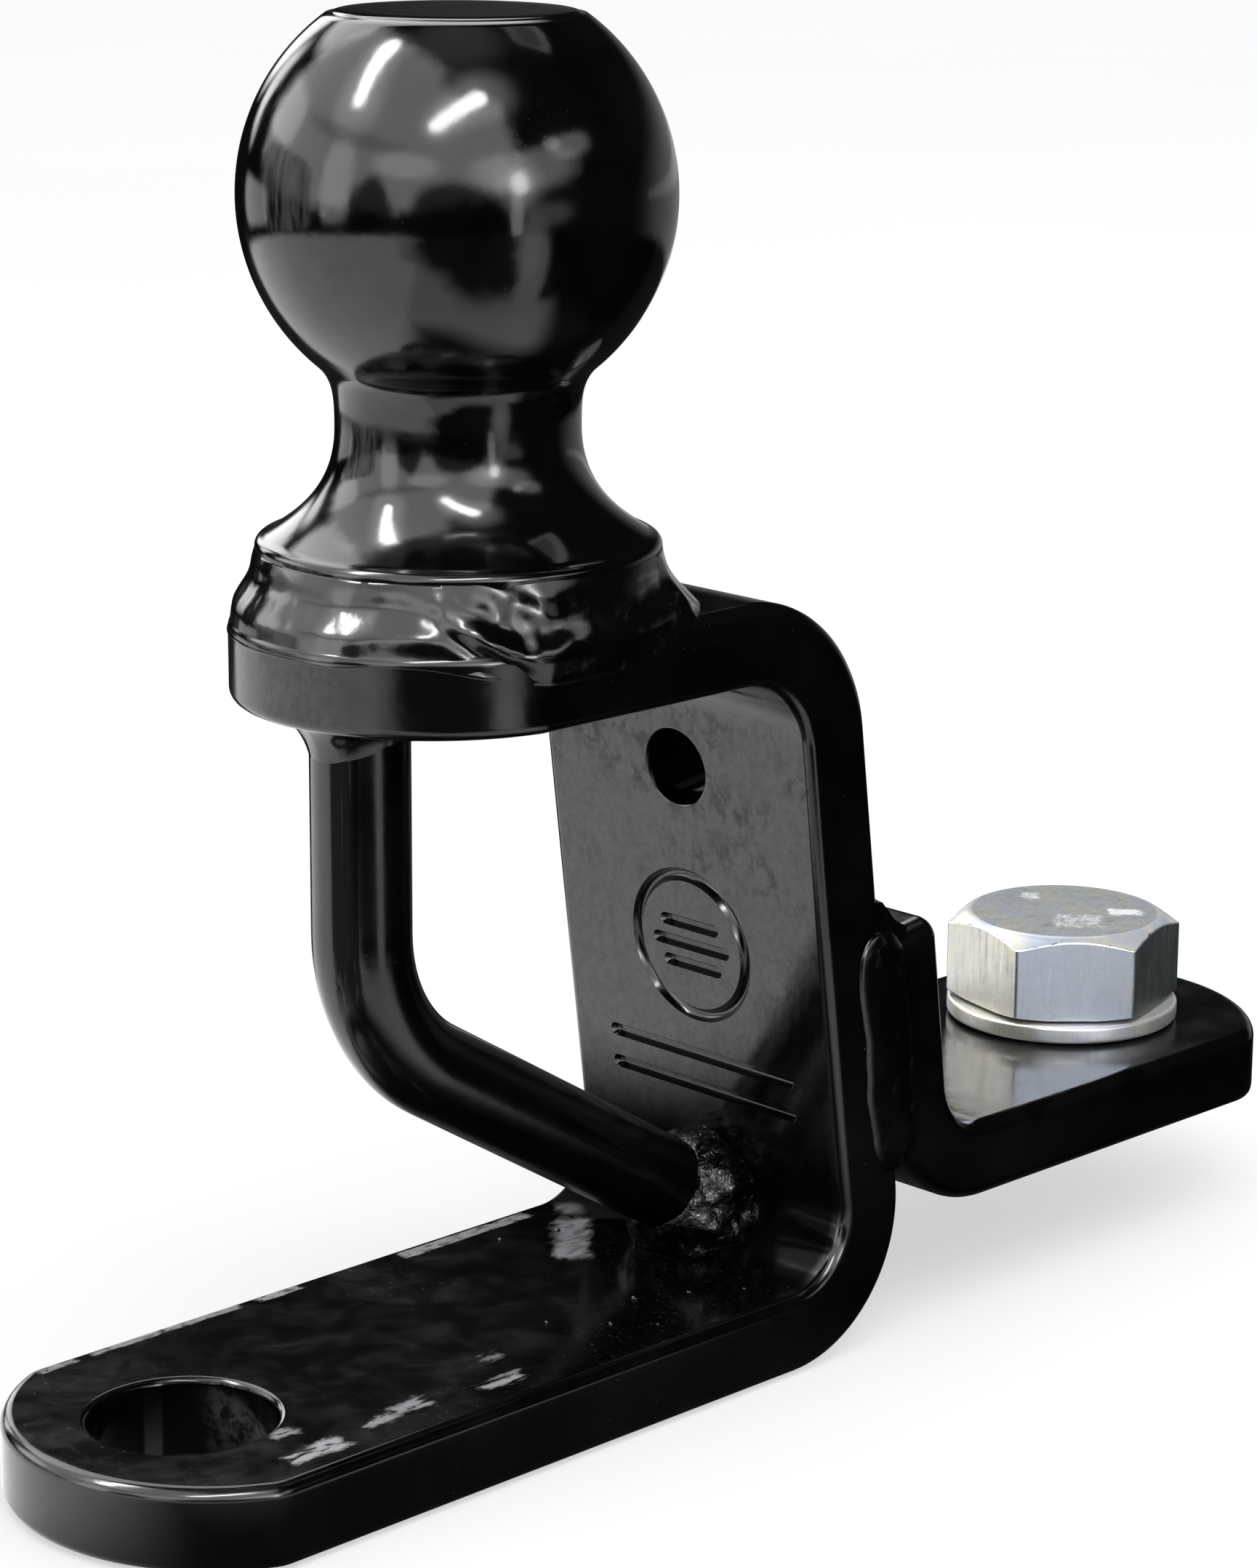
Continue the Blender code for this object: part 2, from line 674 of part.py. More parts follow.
def build_rod_lower_weld():
    """Lumpy bead that closes the rod's end into the corner of the tongue and the upright."""
    across = Vector((0, 1, 0))
    other = ROD_AXIS.cross(across).normalized()
    count = 28
    rings = []
    for i in range(count):
        u = i / count
        turn = 2 * math.pi * u
        direction = across * math.cos(turn) + other * math.sin(turn)
        wave_a, wave_b = ripple(u, 2), ripple(u, 5)
        section = []               # (distance past the rod's end, radius)
        for j, (along, height) in enumerate(LOWER_WELD_ROWS):
            shift = wave_b * 0.5 * MM if j < 3 else 0      # uneven rim round the rod
            wobble = 0.0
            if j > 0:
                wobble = (wave_a * math.cos(1.9 * j) + wave_b * math.sin(1.3 * j)) * 0.55 * MM
            section.append((along * MM + shift, ROD_SEAT_R + height * MM + wobble))
        section += [
            (LOWER_WELD_ROWS[-1][0] * MM, LOWER_WELD_CORE_R),
            (GAP, LOWER_WELD_CORE_R),
            (GAP, ROD_SEAT_R),
        ]
        rings.append([ROD_END + ROD_AXIS * along + direction * r for along, r in section])
    return trimmed_weld(loft("rod_lower_weld", rings, True), corner_clearance())


def corner_clearance():
    """Everything within the gap of the tongue's top and the upright's inner face."""
    face_x0 = UPRIGHT_INNER_X0
    gap_x = GAP / COS_LEAN
    floor_z = BAR_T + GAP
    top_z = 80 * MM
    low_z = -20 * MM
    far_x = 90 * MM
    outline = fillet_path([
        (TONGUE_BLANK_X, floor_z, 0),
        (lean_x(face_x0, floor_z) - gap_x, floor_z, LOW_BEND_R - BAR_T - GAP),
        (lean_x(face_x0, top_z) - gap_x, top_z, 0),
        (far_x, top_z, 0),
        (far_x, low_z, 0),
        (TONGUE_BLANK_X, low_z, 0),
    ])
    return as_cutter(side_profile("rod_lower_weld_corner_cutter", outline, width=90 * MM))


# ---------------------------------------------------------------- rear bracket

def bracket_outline(foot_tip, gap=0.0):
    """The bracket's side view, grown by the gap."""
    inner_x0 = LEG_INNER_X0 - gap
    outer_x0 = LEG_OUTER_X0 + gap
    low_z = FOOT_BOTTOM_Z - gap
    foot_z = FOOT_TOP_Z + gap
    top_z = LEG_TOP_Z + gap
    return fillet_path([
        (lean_x(inner_x0, low_z), low_z, BRACKET_BEND_R + gap),
        (foot_tip, low_z, 0),
        (foot_tip, foot_z, 0),
        (lean_x(outer_x0, foot_z), foot_z, BRACKET_BEND_R - BAR_T),
        (lean_x(outer_x0, top_z), top_z, LEG_TOP_R),
        (lean_x(inner_x0, top_z), top_z, 0),
    ])


def build_bracket():
    bracket = side_profile("mount_bracket", bracket_outline(FOOT_BLANK_X), BAR_W)
    cut(bracket, end_cutter("foot_end_cutter", FOOT_END_X, FOOT_END_R, 1,
                            z_low=0, z_high=45 * MM))
    round_edges(bracket)
    hole = hole_cutter("foot_hole_cutter", FOOT_HOLE_R, SMALL_FLARE, 32)
    hole.location = (BOLT_X, 0, (FOOT_BOTTOM_Z + FOOT_TOP_Z) / 2)
    cut(bracket, hole)
    return as_part(bracket, BLACK, SHARP_BAR)


def bracket_clearances():
    """The upright and the bracket, grown by the gap, as cutters for the beads between them."""
    width = 2 * (HALF_W + GAP)
    low_z, high_z = 10 * MM, 75 * MM
    upright = side_profile("upright_clearance_cutter", [
        (lean_x(UPRIGHT_INNER_X0, low_z), low_z),
        (lean_x(LEG_INNER_X0, low_z), low_z),
        (lean_x(LEG_INNER_X0, high_z), high_z),
        (lean_x(UPRIGHT_INNER_X0, high_z), high_z),
    ], width)
    round_edges(upright)
    bracket = side_profile("bracket_clearance_cutter", bracket_outline(110 * MM, GAP), width)
    round_edges(bracket)
    return as_cutter(upright), as_cutter(bracket)


def bead_along(name, start, end, outward, size, seed):
    """A tapering bead between two points, half sunk into the groove."""
    stations = 16
    sides = 9
    start, end = Vector(start), Vector(end)
    run = (end - start).normalized()
    out = Vector(outward).normalized()
    cross = run.cross(out).normalized()
    rings = []
    for i in range(stations + 1):
        u = i / stations
        taper = math.sin(math.pi * (u * 0.94 + 0.03)) ** 0.35
        radius = size * taper * (1 + 0.12 * ripple(u * 0.6, seed))
        middle = start.lerp(end, u) + cross * ripple(u * 0.5, seed + 3) * 0.25 * MM
        ring = []
        for k in range(sides):
            turn = 2 * math.pi * k / sides
            ring.append(middle + cross * radius * math.cos(turn)
                        + out * radius * 0.75 * math.sin(turn))
        rings.append(ring)
    return loft(name, rings, False)


def top_bead(name):
    """Fillet along the leg's top edge."""
    half_length = HALF_W - 2.3 * MM
    x0 = lean_x(UPRIGHT_OUTER_X0, LEG_TOP_Z)
    sunk_x = x0 - 1.5 * MM         # inside the upright
    sunk_z = LEG_TOP_Z - 1 * MM    # inside the leg
    stations = 18
    rings = []
    for i in range(stations + 1):
        u = i / stations
        y = (-1 + 2 * u) * half_length
        wave = ripple(u * 0.7, 3) * 0.3 * MM
        fade = min(1.0, 5 * min(u, 1 - u) + 0.45)      # smaller at both ends
        up = 4.0 * MM * fade + wave
        along = 4.6 * MM * fade + wave
        section = [
            (sunk_x, LEG_TOP_Z + up),
            (x0 - 1.0 * MM - LEAN * up, LEG_TOP_Z + up + 0.3 * MM),
        ]
        for f in (0.2, 0.5, 0.8):
            section.append((x0 + along * f, LEG_TOP_Z + up * (1 - f) ** 1.7 + 0.55 * MM))
        section += [
            (x0 + along, LEG_TOP_Z + 0.2 * MM),
            (x0 + along, sunk_z),
            (sunk_x, sunk_z),
        ]
        rings.append([(x, y, z) for x, z in section])
    return loft(name, rings, False)


def build_bracket_welds():
    """Beads between the upright and the leg: over the top, down both sides and below."""
    clearances = bracket_clearances()

    def seam_x(z):
        return lean_x((UPRIGHT_OUTER_X0 + LEG_INNER_X0) / 2, z)

    beads = [top_bead("bracket_weld_top")]
    low_z, high_z = 22.5 * MM, 50.5 * MM
    for name, side, seed in (("bracket_weld_near", -1, 2), ("bracket_weld_far", 1, 6)):
        y = side * (HALF_W - 0.2 * MM)
        beads.append(bead_along(name, (seam_x(low_z), y, low_z), (seam_x(high_z), y, high_z),
                                outward=(0, side, 0), size=2.6 * MM, seed=seed))
    x = seam_x(20.5 * MM)
    half_length = 16 * MM
    z = 20.3 * MM
    beads.append(bead_along("bracket_weld_bottom", (x, -half_length, z), (x, half_length, z),
                            outward=(-0.1, 0, -1), size=2.3 * MM, seed=9))
    return [trimmed_weld(bead, *clearances) for bead in beads]


# ---------------------------------------------------------------- bolt and washer

def build_washer():
    rim_r = WASHER_R - WASHER_EDGE
    washer = bake(turned("lock_washer", [
        (rim_r, WASHER_TOP_Z),
        (WASHER_R, WASHER_TOP_Z - WASHER_EDGE),
        (WASHER_R, WASHER_LOW_Z + WASHER_EDGE),
        (rim_r, WASHER_LOW_Z),
        (WASHER_BORE_R, WASHER_LOW_Z),
        (WASHER_BORE_R, WASHER_TOP_Z),
        (rim_r, WASHER_TOP_Z),
    ], 44))
    washer.location = (BOLT_X, 0, 0)

    # slanting split through one side of the ring
    bpy.ops.mesh.primitive_cube_add(size=1)
    slot = bpy.context.object
    slot.name = "washer_split_cutter"
    slot.data.transform(Matrix.Diagonal((9 * MM, WASHER_SPLIT, 9 * MM, 1)))
    slot.matrix_world = (
        Matrix.Translation((BOLT_X, 0, (WASHER_LOW_Z + WASHER_TOP_Z) / 2))
        @ Matrix.Rotation(SPLIT_PLACE, 4, "Z")
        @ Matrix.Translation(((WASHER_R + WASHER_BORE_R) / 2, 0, 0))
        @ Matrix.Rotation(SPLIT_SLANT, 4, "X"))
    cut(washer, as_cutter(slot))
    return as_part(washer, ZINC_WASHER, SHARP_WASHER)


def build_bolt():
    corner_r = HEAD_AF / math.sqrt(3)
    flat_r = HEAD_AF / 2
    middle = Matrix.Translation((0, 0, (HEAD_LOW_Z + HEAD_TOP_Z) / 2))
    bm = bmesh.new()
    bmesh.ops.create_cone(bm, cap_ends=True, segments=6, radius1=corner_r, radius2=corner_r,
                          depth=HEAD_H, matrix=middle @ Matrix.Rotation(BOLT_TURN, 4, "Z"))
    bolt = from_bmesh("mounting_bolt", bm)

    # a turned form that chamfers the hexagon's corners above and below
    form_r = corner_r + 0.35 * MM
    crown = turned_cutter("bolt_head_crown_cutter", [
        (0, HEAD_TOP_Z),
        (flat_r * 0.90, HEAD_TOP_Z - 0.05 * MM),
        (flat_r * 0.96, HEAD_TOP_Z - 0.25 * MM),
        (form_r, HEAD_TOP_Z - 1.75 * MM),
        (form_r, HEAD_LOW_Z + 0.45 * MM),
        (flat_r * 1.02, HEAD_LOW_Z),
        (0, HEAD_LOW_Z),
    ], 48)
    cut(bolt, crown, "INTERSECT")
    bake(bolt)

    tip_z = HEAD_LOW_Z - SHANK_L
    shank = turned_cutter("bolt_shank_cutter", [
        (0, HEAD_LOW_Z + SHANK_OVERLAP),
        (SHANK_R, HEAD_LOW_Z + SHANK_OVERLAP),
        (SHANK_R, tip_z + 1.3 * MM),
        (SHANK_R - 1.1 * MM, tip_z),
        (0, tip_z),
    ], 32)
    cut(bolt, shank, "UNION")
    bake(bolt)
    bolt.location = (BOLT_X, 0, 0)
    return as_part(bolt, ZINC, SHARP_BOLT)


# ---------------------------------------------------------------- assembly

build_hitch_frame()
build_ball()
build_ball_weld()
build_rod()
build_rod_upper_weld()
build_rod_lower_weld()
build_bracket()
build_bracket_welds()
build_washer()
build_bolt()
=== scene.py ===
"""A tow-ball hitch bent from flat bar, painted black, with a zinc-plated bolt.

+Z is up and the ball stands on the Z axis. The flat bar starts as a low tongue towards -X,
bends up into an upright that leans towards -X, and bends again into the top plate under the
ball. A rod braces the plate, and an L bracket on the upright's +X face has a foot towards +X
with the bolt and washer. The camera stands at -X -Y, so -Y is the near side and +Y the far one.
Sizes are in millimetres unless a comment says otherwise.
"""
import math
from contextlib import contextmanager
from functools import reduce
from types import SimpleNamespace

import bmesh
import bpy
from mathutils import Matrix, Vector, noise


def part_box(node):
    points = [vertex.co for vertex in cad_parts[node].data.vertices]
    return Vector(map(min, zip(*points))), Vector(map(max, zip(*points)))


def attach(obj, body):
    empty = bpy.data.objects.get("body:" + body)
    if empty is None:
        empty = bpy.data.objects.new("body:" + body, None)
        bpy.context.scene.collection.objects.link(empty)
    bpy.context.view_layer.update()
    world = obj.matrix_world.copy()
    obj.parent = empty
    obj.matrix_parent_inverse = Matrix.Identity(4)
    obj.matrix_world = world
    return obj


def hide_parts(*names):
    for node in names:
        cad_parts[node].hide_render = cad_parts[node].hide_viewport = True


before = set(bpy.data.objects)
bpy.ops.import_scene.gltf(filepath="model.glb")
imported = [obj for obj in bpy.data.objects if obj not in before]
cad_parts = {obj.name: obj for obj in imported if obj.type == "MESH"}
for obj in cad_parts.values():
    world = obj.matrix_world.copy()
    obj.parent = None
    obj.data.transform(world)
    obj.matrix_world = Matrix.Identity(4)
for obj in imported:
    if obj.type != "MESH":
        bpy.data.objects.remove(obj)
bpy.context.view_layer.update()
SCENE = bpy.context.scene
UNIT = 0.001  # a millimetre in metres


# ---------------------------------------------------------------- sizes

def cad_box(node):
    low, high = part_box(node)
    return low / UNIT, high / UNIT


FRAME_LOW, FRAME_HIGH = cad_box("hitch_frame")
BALL_LOW, BALL_HIGH = cad_box("tow_ball")
BRACKET_LOW, BRACKET_HIGH = cad_box("mount_bracket")
WASHER_LOW, WASHER_HIGH = cad_box("lock_washer")
BOLT_LOW, BOLT_HIGH = cad_box("mounting_bolt")

# flat bar
HALF_W = FRAME_HIGH.y
BAR_T = 9.525
HALF_T = BAR_T / 2
FRAME_EDGE_R = 1.45
TONGUE_Z = FRAME_LOW.z
TONGUE_TOP_Z = TONGUE_Z + BAR_T
PLATE_TOP_Z = FRAME_HIGH.z
PLATE_BOTTOM_Z = PLATE_TOP_Z - BAR_T
TOP_BEND_R = 19.3  # bend radii are those of the outer skin
LOW_BEND_R = 17.4
PLATE_END_X, PLATE_END_R = -3.6, 22.55
TONGUE_END_R = 24.25
TONGUE_HOLE_X, TONGUE_HOLE_R = -40.9, 10.35
UPRIGHT_HOLE_Z, UPRIGHT_HOLE_R = 68.7, 4.55

# the upright's and the bracket leg's faces, by their x at z = 0
LEAN = 0.13  # towards -X for each millimetre up
COS_LEAN = 1 / math.sqrt(1 + LEAN * LEAN)
UPRIGHT_X0 = 42.9
UPRIGHT_OUT_X0 = UPRIGHT_X0 + BAR_T / COS_LEAN
LEG_FRONT_X0 = UPRIGHT_OUT_X0 + 0.3 / COS_LEAN
LEG_BACK_X0 = LEG_FRONT_X0 + BAR_T / COS_LEAN

# ball
BALL_R = BALL_HIGH.x
BALL_FLAT_Z = BALL_HIGH.z
BALL_Z = 137.96
NECK_R, NECK_Z = 13.45, 113.0
FLANGE_R = 22.3
FLANGE_BOTTOM_Z = BALL_LOW.z
FLANGE_TOP_Z = 101.0

# brace rod: its lower run passes through (ROD_LINE_X, ROD_LINE_Z) and falls by ROD_DROP per mm of x
ROD_R, ROD_X, ROD_BEND_R, ROD_DROP = 5.556, -14.6, 21.0, 0.611
ROD_LINE_X, ROD_LINE_Z, ROD_END_Z = 1.14, 37.08, 14.9
ROD_SLOPE = Vector((1, 0, -ROD_DROP)).normalized()

# bracket
FOOT_BOTTOM_Z = BRACKET_LOW.z
FOOT_TOP_Z = FOOT_BOTTOM_Z + BAR_T
LEG_TOP_Z = BRACKET_HIGH.z
BRACKET_BEND_R = 16.5
BRACKET_EDGE_R = 1.7
FOOT_END_R = 25.5
FOOT_HOLE_R = 8.73
SEAM_Y = HALF_W - 0.15  # how far out the welds along the bracket reach
BEAD_SIZE = 2.3

# washer and bolt
BOLT_X = (WASHER_LOW.x + WASHER_HIGH.x) / 2
WASHER_R = 14.9
WASHER_BORE_R = 8.35
HEAD_FLATS = 26.2  # across the flats
HEAD_LOW = WASHER_HIGH.z + 0.3
HEAD_HIGH = BOLT_HIGH.z
SHANK_LOW = BOLT_LOW.z
SHANK_R = 7.9375
THREAD_PITCH = 2.309
THREAD_DEPTH = 1.30
BOLT_TURN = math.radians(16.7)


def lean_x(x0, z):
    """The x of a leaning face at height z."""
    return x0 - LEAN * z


def seam_x(z):
    """The middle of the joint between upright and bracket leg."""
    return lean_x((UPRIGHT_OUT_X0 + LEG_FRONT_X0) / 2, z)


# ---------------------------------------------------------------- mesh helpers

@contextmanager
def editing(mesh):
    """The mesh as a bmesh, written back when the block ends."""
    work = bmesh.new()
    work.from_mesh(mesh)
    yield work
    work.to_mesh(mesh)
    work.free()


def new_object(name, data):
    obj = bpy.data.objects.new(name, data)
    SCENE.collection.objects.link(obj)
    return obj


def mesh_from(verts, faces):
    mesh = bpy.data.meshes.new("piece")
    mesh.from_pydata([(v[0] * UNIT, v[1] * UNIT, v[2] * UNIT) for v in verts], [], faces)
    with editing(mesh) as work:
        bmesh.ops.remove_doubles(work, verts=work.verts, dist=1e-7)
        bmesh.ops.dissolve_degenerate(work, dist=1e-8, edges=work.edges)
        bmesh.ops.recalc_face_normals(work, faces=work.faces)
    return new_object("piece", mesh)


def evaluated_mesh(obj):
    bpy.context.view_layer.update()
    deps = bpy.context.evaluated_depsgraph_get()
    return bpy.data.meshes.new_from_object(obj.evaluated_get(deps))


def apply_modifiers(obj):
    mesh = evaluated_mesh(obj)
    mesh.transform(obj.matrix_world)
    old = obj.data
    obj.modifiers.clear()
    obj.data = mesh
    obj.matrix_world = Matrix.Identity(4)
    bpy.data.meshes.remove(old)


def cut(obj, cutter, operation="DIFFERENCE"):
    mod = obj.modifiers.new("cut", "BOOLEAN")
    mod.operation = operation
    mod.solver = "EXACT"
    mod.object = cutter
    apply_modifiers(obj)
    bpy.data.objects.remove(cutter, do_unlink=True)


def around(count):
    """Evenly spaced (turn, cosine, sine) round a circle."""
    turns = [2 * math.pi * i / count for i in range(count)]
    return [(turn, math.cos(turn), math.sin(turn)) for turn in turns]


def loft(rings, closed=False, open_rings=False):
    """Skins a run of rings; a run that isn't closed gets capped ends."""
    size, count = len(rings[0]), len(rings)
    faces = []
    for i in range(count if closed else count - 1):
        this, after = i * size, ((i + 1) % count) * size
        for j in range(size - 1 if open_rings else size):
            k = (j + 1) % size
            faces.append((this + j, this + k, after + k, after + j))
    if not closed:
        faces.append(tuple(range(size)))
        faces.append(tuple(reversed(range((count - 1) * size, count * size))))
    return mesh_from([point for ring in rings for point in ring], faces)


def turned(profile, steps, closed=False):
    """(radius, z) points turned about Z."""
    rings = [[(radius * cos, radius * sin, z) for radius, z in profile]
             for _, cos, sin in around(steps)]
    return loft(rings, closed=True, open_rings=not closed)


def lumps(point, size, seed, octaves=2):
    """Smooth repeatable noise near -1..1 at a point, with lumps of the given size."""
    place = Vector((point[0] / size + seed, point[1] / size - seed * 0.7,
                    point[2] / size + seed * 1.3))
    total, amount, norm = 0.0, 1.0, 0.0
    for _ in range(octaves):
        total += noise.noise(place) * amount
        norm += amount
        amount *= 0.5
        place = place * 2.03
    return total / norm


def smooth(value):
    value = max(0.0, min(1.0, value))
    return value * value * (3 - 2 * value)


def finish_piece(obj, name, body, node, material, sharp, even=False):
    obj.data.materials.clear()
    obj.data.materials.append(material)
    obj.data.shade_smooth()
    obj.data.set_sharp_from_angle(angle=math.radians(sharp))
    if even:
        mod = obj.modifiers.new("normals", "WEIGHTED_NORMAL")
        mod.keep_sharp = True
        mod.mode = "FACE_AREA"
        mod.weight = 90
        apply_modifiers(obj)
    obj.name = name
    obj.data.name = name
    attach(obj, body)
    if node:
        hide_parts(node)


# ---------------------------------------------------------------- bent bars

def corner_arc(before, corner, after, radius, step):
    """The arc that rounds a corner: its centre, its sense (1 or -1) and its angles."""
    back = (before - corner).normalized()
    ahead = (after - corner).normalized()
    inner = back.angle(ahead)
    reach = radius / math.tan(inner / 2)
    centre = corner + (back + ahead).normalized() * (radius / math.sin(inner / 2))
    start = corner + back * reach - centre
    end = corner + ahead * reach - centre
    turn = math.pi - inner
    sense = 1 if start.x * end.y - start.y * end.x > 0 else -1
    count = round(turn / step)
    first = math.atan2(start.y, start.x)
    return centre, sense, [first + sense * turn * k / count for k in range(count + 1)]


def rounded_outline(points, radius, step):
    """A closed outline with all its corners rounded."""
    points = [Vector(point) for point in points]
    out = []
    for i, corner in enumerate(points):
        after = points[(i + 1) % len(points)]
        centre, _, angles = corner_arc(points[i - 1], corner, after, radius, step)
        out += [(centre.x + radius * math.cos(a), centre.y + radius * math.sin(a))
                for a in angles]
    return out


def centre_line(corners):
    """Points and directions along a bent bar's middle line, from (x, z, bend radius) corners."""
    points = [Vector(corner[:2]) for corner in corners]
    out = [(points[0], (points[1] - points[0]).normalized())]
    for i in range(1, len(points) - 1):
        radius = corners[i][2]
        centre, sense, angles = corner_arc(*points[i - 1:i + 2], radius, math.radians(2.5))
        for angle in angles:
            cos, sin = math.cos(angle), math.sin(angle)
            out.append((centre + Vector((cos, sin)) * radius, Vector((-sin, cos)) * sense))
    out.append((points[-1], (points[-1] - points[-2]).normalized()))
    return out


def bar_end(radius, corner):
    """Half of a bar's end in plan; radius 0 is a square end.

    Each entry: distance from the tip, half width, normal along the bar, normal across it.
    """
    out = []
    if radius:
        inset = math.sqrt(max((radius - corner) ** 2 - (HALF_W - corner) ** 2, 0.0))
        sweep = math.atan2(HALF_W - corner, inset)
        steps = 40
        for k in range(steps + 1):
            angle = sweep * k / steps
            cos, sin = math.cos(angle), math.sin(angle)
            out.append((radius - radius * cos, radius * sin, -cos, sin))
        base = radius - inset
    else:
        sweep, base = 0.0, corner
        out.append((0.0, HALF_W - corner, -1.0, 0.0))
    for k in range(1, 11):
        angle = sweep + (math.pi / 2 - sweep) * k / 10
        cos, sin = math.cos(angle), math.sin(angle)
        out.append((base - corner * cos, HALF_W - corner + corner * sin, -cos, sin))
    return out


def bent_bar(corners, head, tail, edge):
    """A flat bar bent along its middle line, with shaped ends and its long edges rolled over."""
    # half of the section: inset from the side, height over the middle line
    rolled = []
    for k in range(7):
        angle = math.pi / 2 * k / 6
        rolled.append((edge * (1 - math.sin(angle)), HALF_T - edge * (1 - math.cos(angle))))
    rolled += [(inset, -height) for inset, height in reversed(rolled)]

    # point, direction, step along it, normal along, half width, normal across
    way = centre_line(corners)
    stations = [(*way[0], along, tilt, half, spread) for along, half, tilt, spread in head]
    stations += [(*stop, 0.0, 0.0, HALF_W, 1.0) for stop in way[1:-1]]
    stations += [(*way[-1], -along, -tilt, half, spread)
                 for along, half, tilt, spread in reversed(tail)]

    verts, index = [], []
    for point, run, along, tilt, half, spread in stations:
        up = Vector((-run.y, run.x))
        row = []
        for inset, height in rolled:
            spot = point + run * (along - inset * tilt) + up * height
            wide = half - inset * spread
            verts.append((spot.x, -wide, spot.y))
            near = len(verts) - 1
            if half > 1e-6:
                verts.append((spot.x, wide, spot.y))
            row.append((near, len(verts) - 1))
        index.append(row)

    faces = []

    def face(*corners):
        """Adds a face without its repeated corners."""
        ids = [v for k, v in enumerate(corners) if v != corners[k - 1]]
        if len(ids) > 2:
            faces.append(ids)

    last = len(rolled) - 1
    for this, after in zip(index[:-1], index[1:]):
        for j in range(last):
            face(this[j][0], after[j][0], after[j + 1][0], this[j + 1][0])
            face(this[j][1], this[j + 1][1], after[j + 1][1], after[j][1])
        face(this[0][0], this[0][1], after[0][1], after[0][0])
        face(this[last][0], after[last][0], after[last][1], this[last][1])
    for row in (index[0], index[-1]):
        if row[0][0] != row[0][1]:
            for j in range(last):
                face(row[j][0], row[j + 1][0], row[j + 1][1], row[j][1])
    return mesh_from(verts, faces)


def drill(obj, radius, flare, steps, matrix):
    """Bores through the bar, with mouths that flare out in a quarter round."""
    mouth = []
    for k in range(7):
        angle = math.pi / 2 * k / 6
        mouth.append((radius + flare * (1 - math.cos(angle)),
                      HALF_T + 0.015 - flare * (1 - math.sin(angle))))
    clear = HALF_T + 3
    upper = [(0, clear), (mouth[-1][0], clear)] + list(reversed(mouth))
    cutter = turned(upper + [(r, -z) for r, z in reversed(upper)], steps)
    cutter.data.transform(matrix)
    cut(obj, cutter)


# ---------------------------------------------------------------- hitch frame

MARK_Z = 46.5
MARK_DEPTH = 0.85
MARK_RING_R = 8.85
# the stamped ring's section: offset from MARK_RING_R, height as a share of the depth
MARK_RING_FLOOR = [(-0.12, -1), (0.12, -1), (0.43, -0.82), (0.67, -0.42)]
# the stamped bars: middle up the face, length, height
MARK_BARS = [(2.6, 9.0, 1.1), (0, 12.0, 1.1), (-2.6, 9.0, 1.1), (-14.2, 30.0, 1.2),
             (-18.4, 30.0, 1.2)]


def upright_face(z):
    """Frame on the upright's -X face, in metres: X across the bar, Y up it, Z out of it."""
    up = Vector((-LEAN, 0, 1)).normalized()
    out = Vector((-1, 0, -LEAN)).normalized()
    matrix = Matrix((up.cross(out), up, out)).transposed().to_4x4()
    matrix.translation = Vector((lean_x(UPRIGHT_X0, z), 0, z)) * UNIT
    return matrix


def groove(points):
    """A tool for a stamped groove: narrow at its floor, wider at the face, clear above it."""
    spread = 0.24
    # height, growth of the outline
    levels = [(-MARK_DEPTH, -spread * 1.5), (-MARK_DEPTH * 0.88, -spread * 0.8),
              (-MARK_DEPTH * 0.55, 0.0), (-MARK_DEPTH * 0.15, spread * 0.7),
              (0.02, spread), (0.6, spread * 1.3)]
    rings = []
    for z, grow in levels:
        ring = []
        for k, (x, y) in enumerate(points):
            before, after = points[k - 1], points[(k + 1) % len(points)]
            tangent = Vector((after[0] - before[0], after[1] - before[1])).normalized()
            ring.append((x + tangent.y * grow, y - tangent.x * grow, z))
        rings.append(ring)
    return loft(rings)


def mark_cutters():
    """The stamped mark: a ring round three short bars, over two long bars."""
    centre = upright_face(MARK_Z)
    right = [(MARK_RING_R + off, MARK_DEPTH * drop) for off, drop in MARK_RING_FLOOR]
    left = [(MARK_RING_R - off, MARK_DEPTH * drop) for off, drop in MARK_RING_FLOOR[2:]]
    mouth = [(MARK_RING_R + off, z)
             for off, z in ((0.83, 0.02), (0.91, 0.6), (-0.91, 0.6), (-0.83, 0.02))]
    ring = turned(right + mouth + left[::-1], 120, closed=True)
    ring.data.transform(centre)
    made = [ring]
    for up, width, height in MARK_BARS:
        x, y = width / 2, height / 2
        outline = rounded_outline([(-x, -y), (x, -y), (x, y), (-x, y)], y * 0.98,
                                  math.radians(15))
        tool = groove(outline)
        tool.data.transform(centre @ Matrix.Translation((0, up * UNIT, 0)))
        made.append(tool)
    return made


def build_hitch_frame():
    upright_x0 = (UPRIGHT_X0 + UPRIGHT_OUT_X0) / 2
    low_z, high_z = TONGUE_Z + HALF_T, PLATE_TOP_Z - HALF_T
    corners = [
        (FRAME_LOW.x, low_z, 0),
        (lean_x(upright_x0, low_z), low_z, LOW_BEND_R - HALF_T),
        (lean_x(upright_x0, high_z), high_z, TOP_BEND_R - HALF_T),
        (PLATE_END_X - PLATE_END_R, high_z, 0),
    ]
    obj = bent_bar(corners, bar_end(TONGUE_END_R, 5.0), bar_end(PLATE_END_R, 4.0), FRAME_EDGE_R)
    drill(obj, TONGUE_HOLE_R, flare=0.85, steps=120,
          matrix=Matrix.Translation((TONGUE_HOLE_X * UNIT, 0, low_z * UNIT)))
    drill(obj, UPRIGHT_HOLE_R, flare=0.5, steps=72,
          matrix=upright_face(UPRIGHT_HOLE_Z) @ Matrix.Translation((0, 0, -HALF_T * UNIT)))
    for tool in mark_cutters():
        cut(obj, tool)
    return obj


# ---------------------------------------------------------------- ball

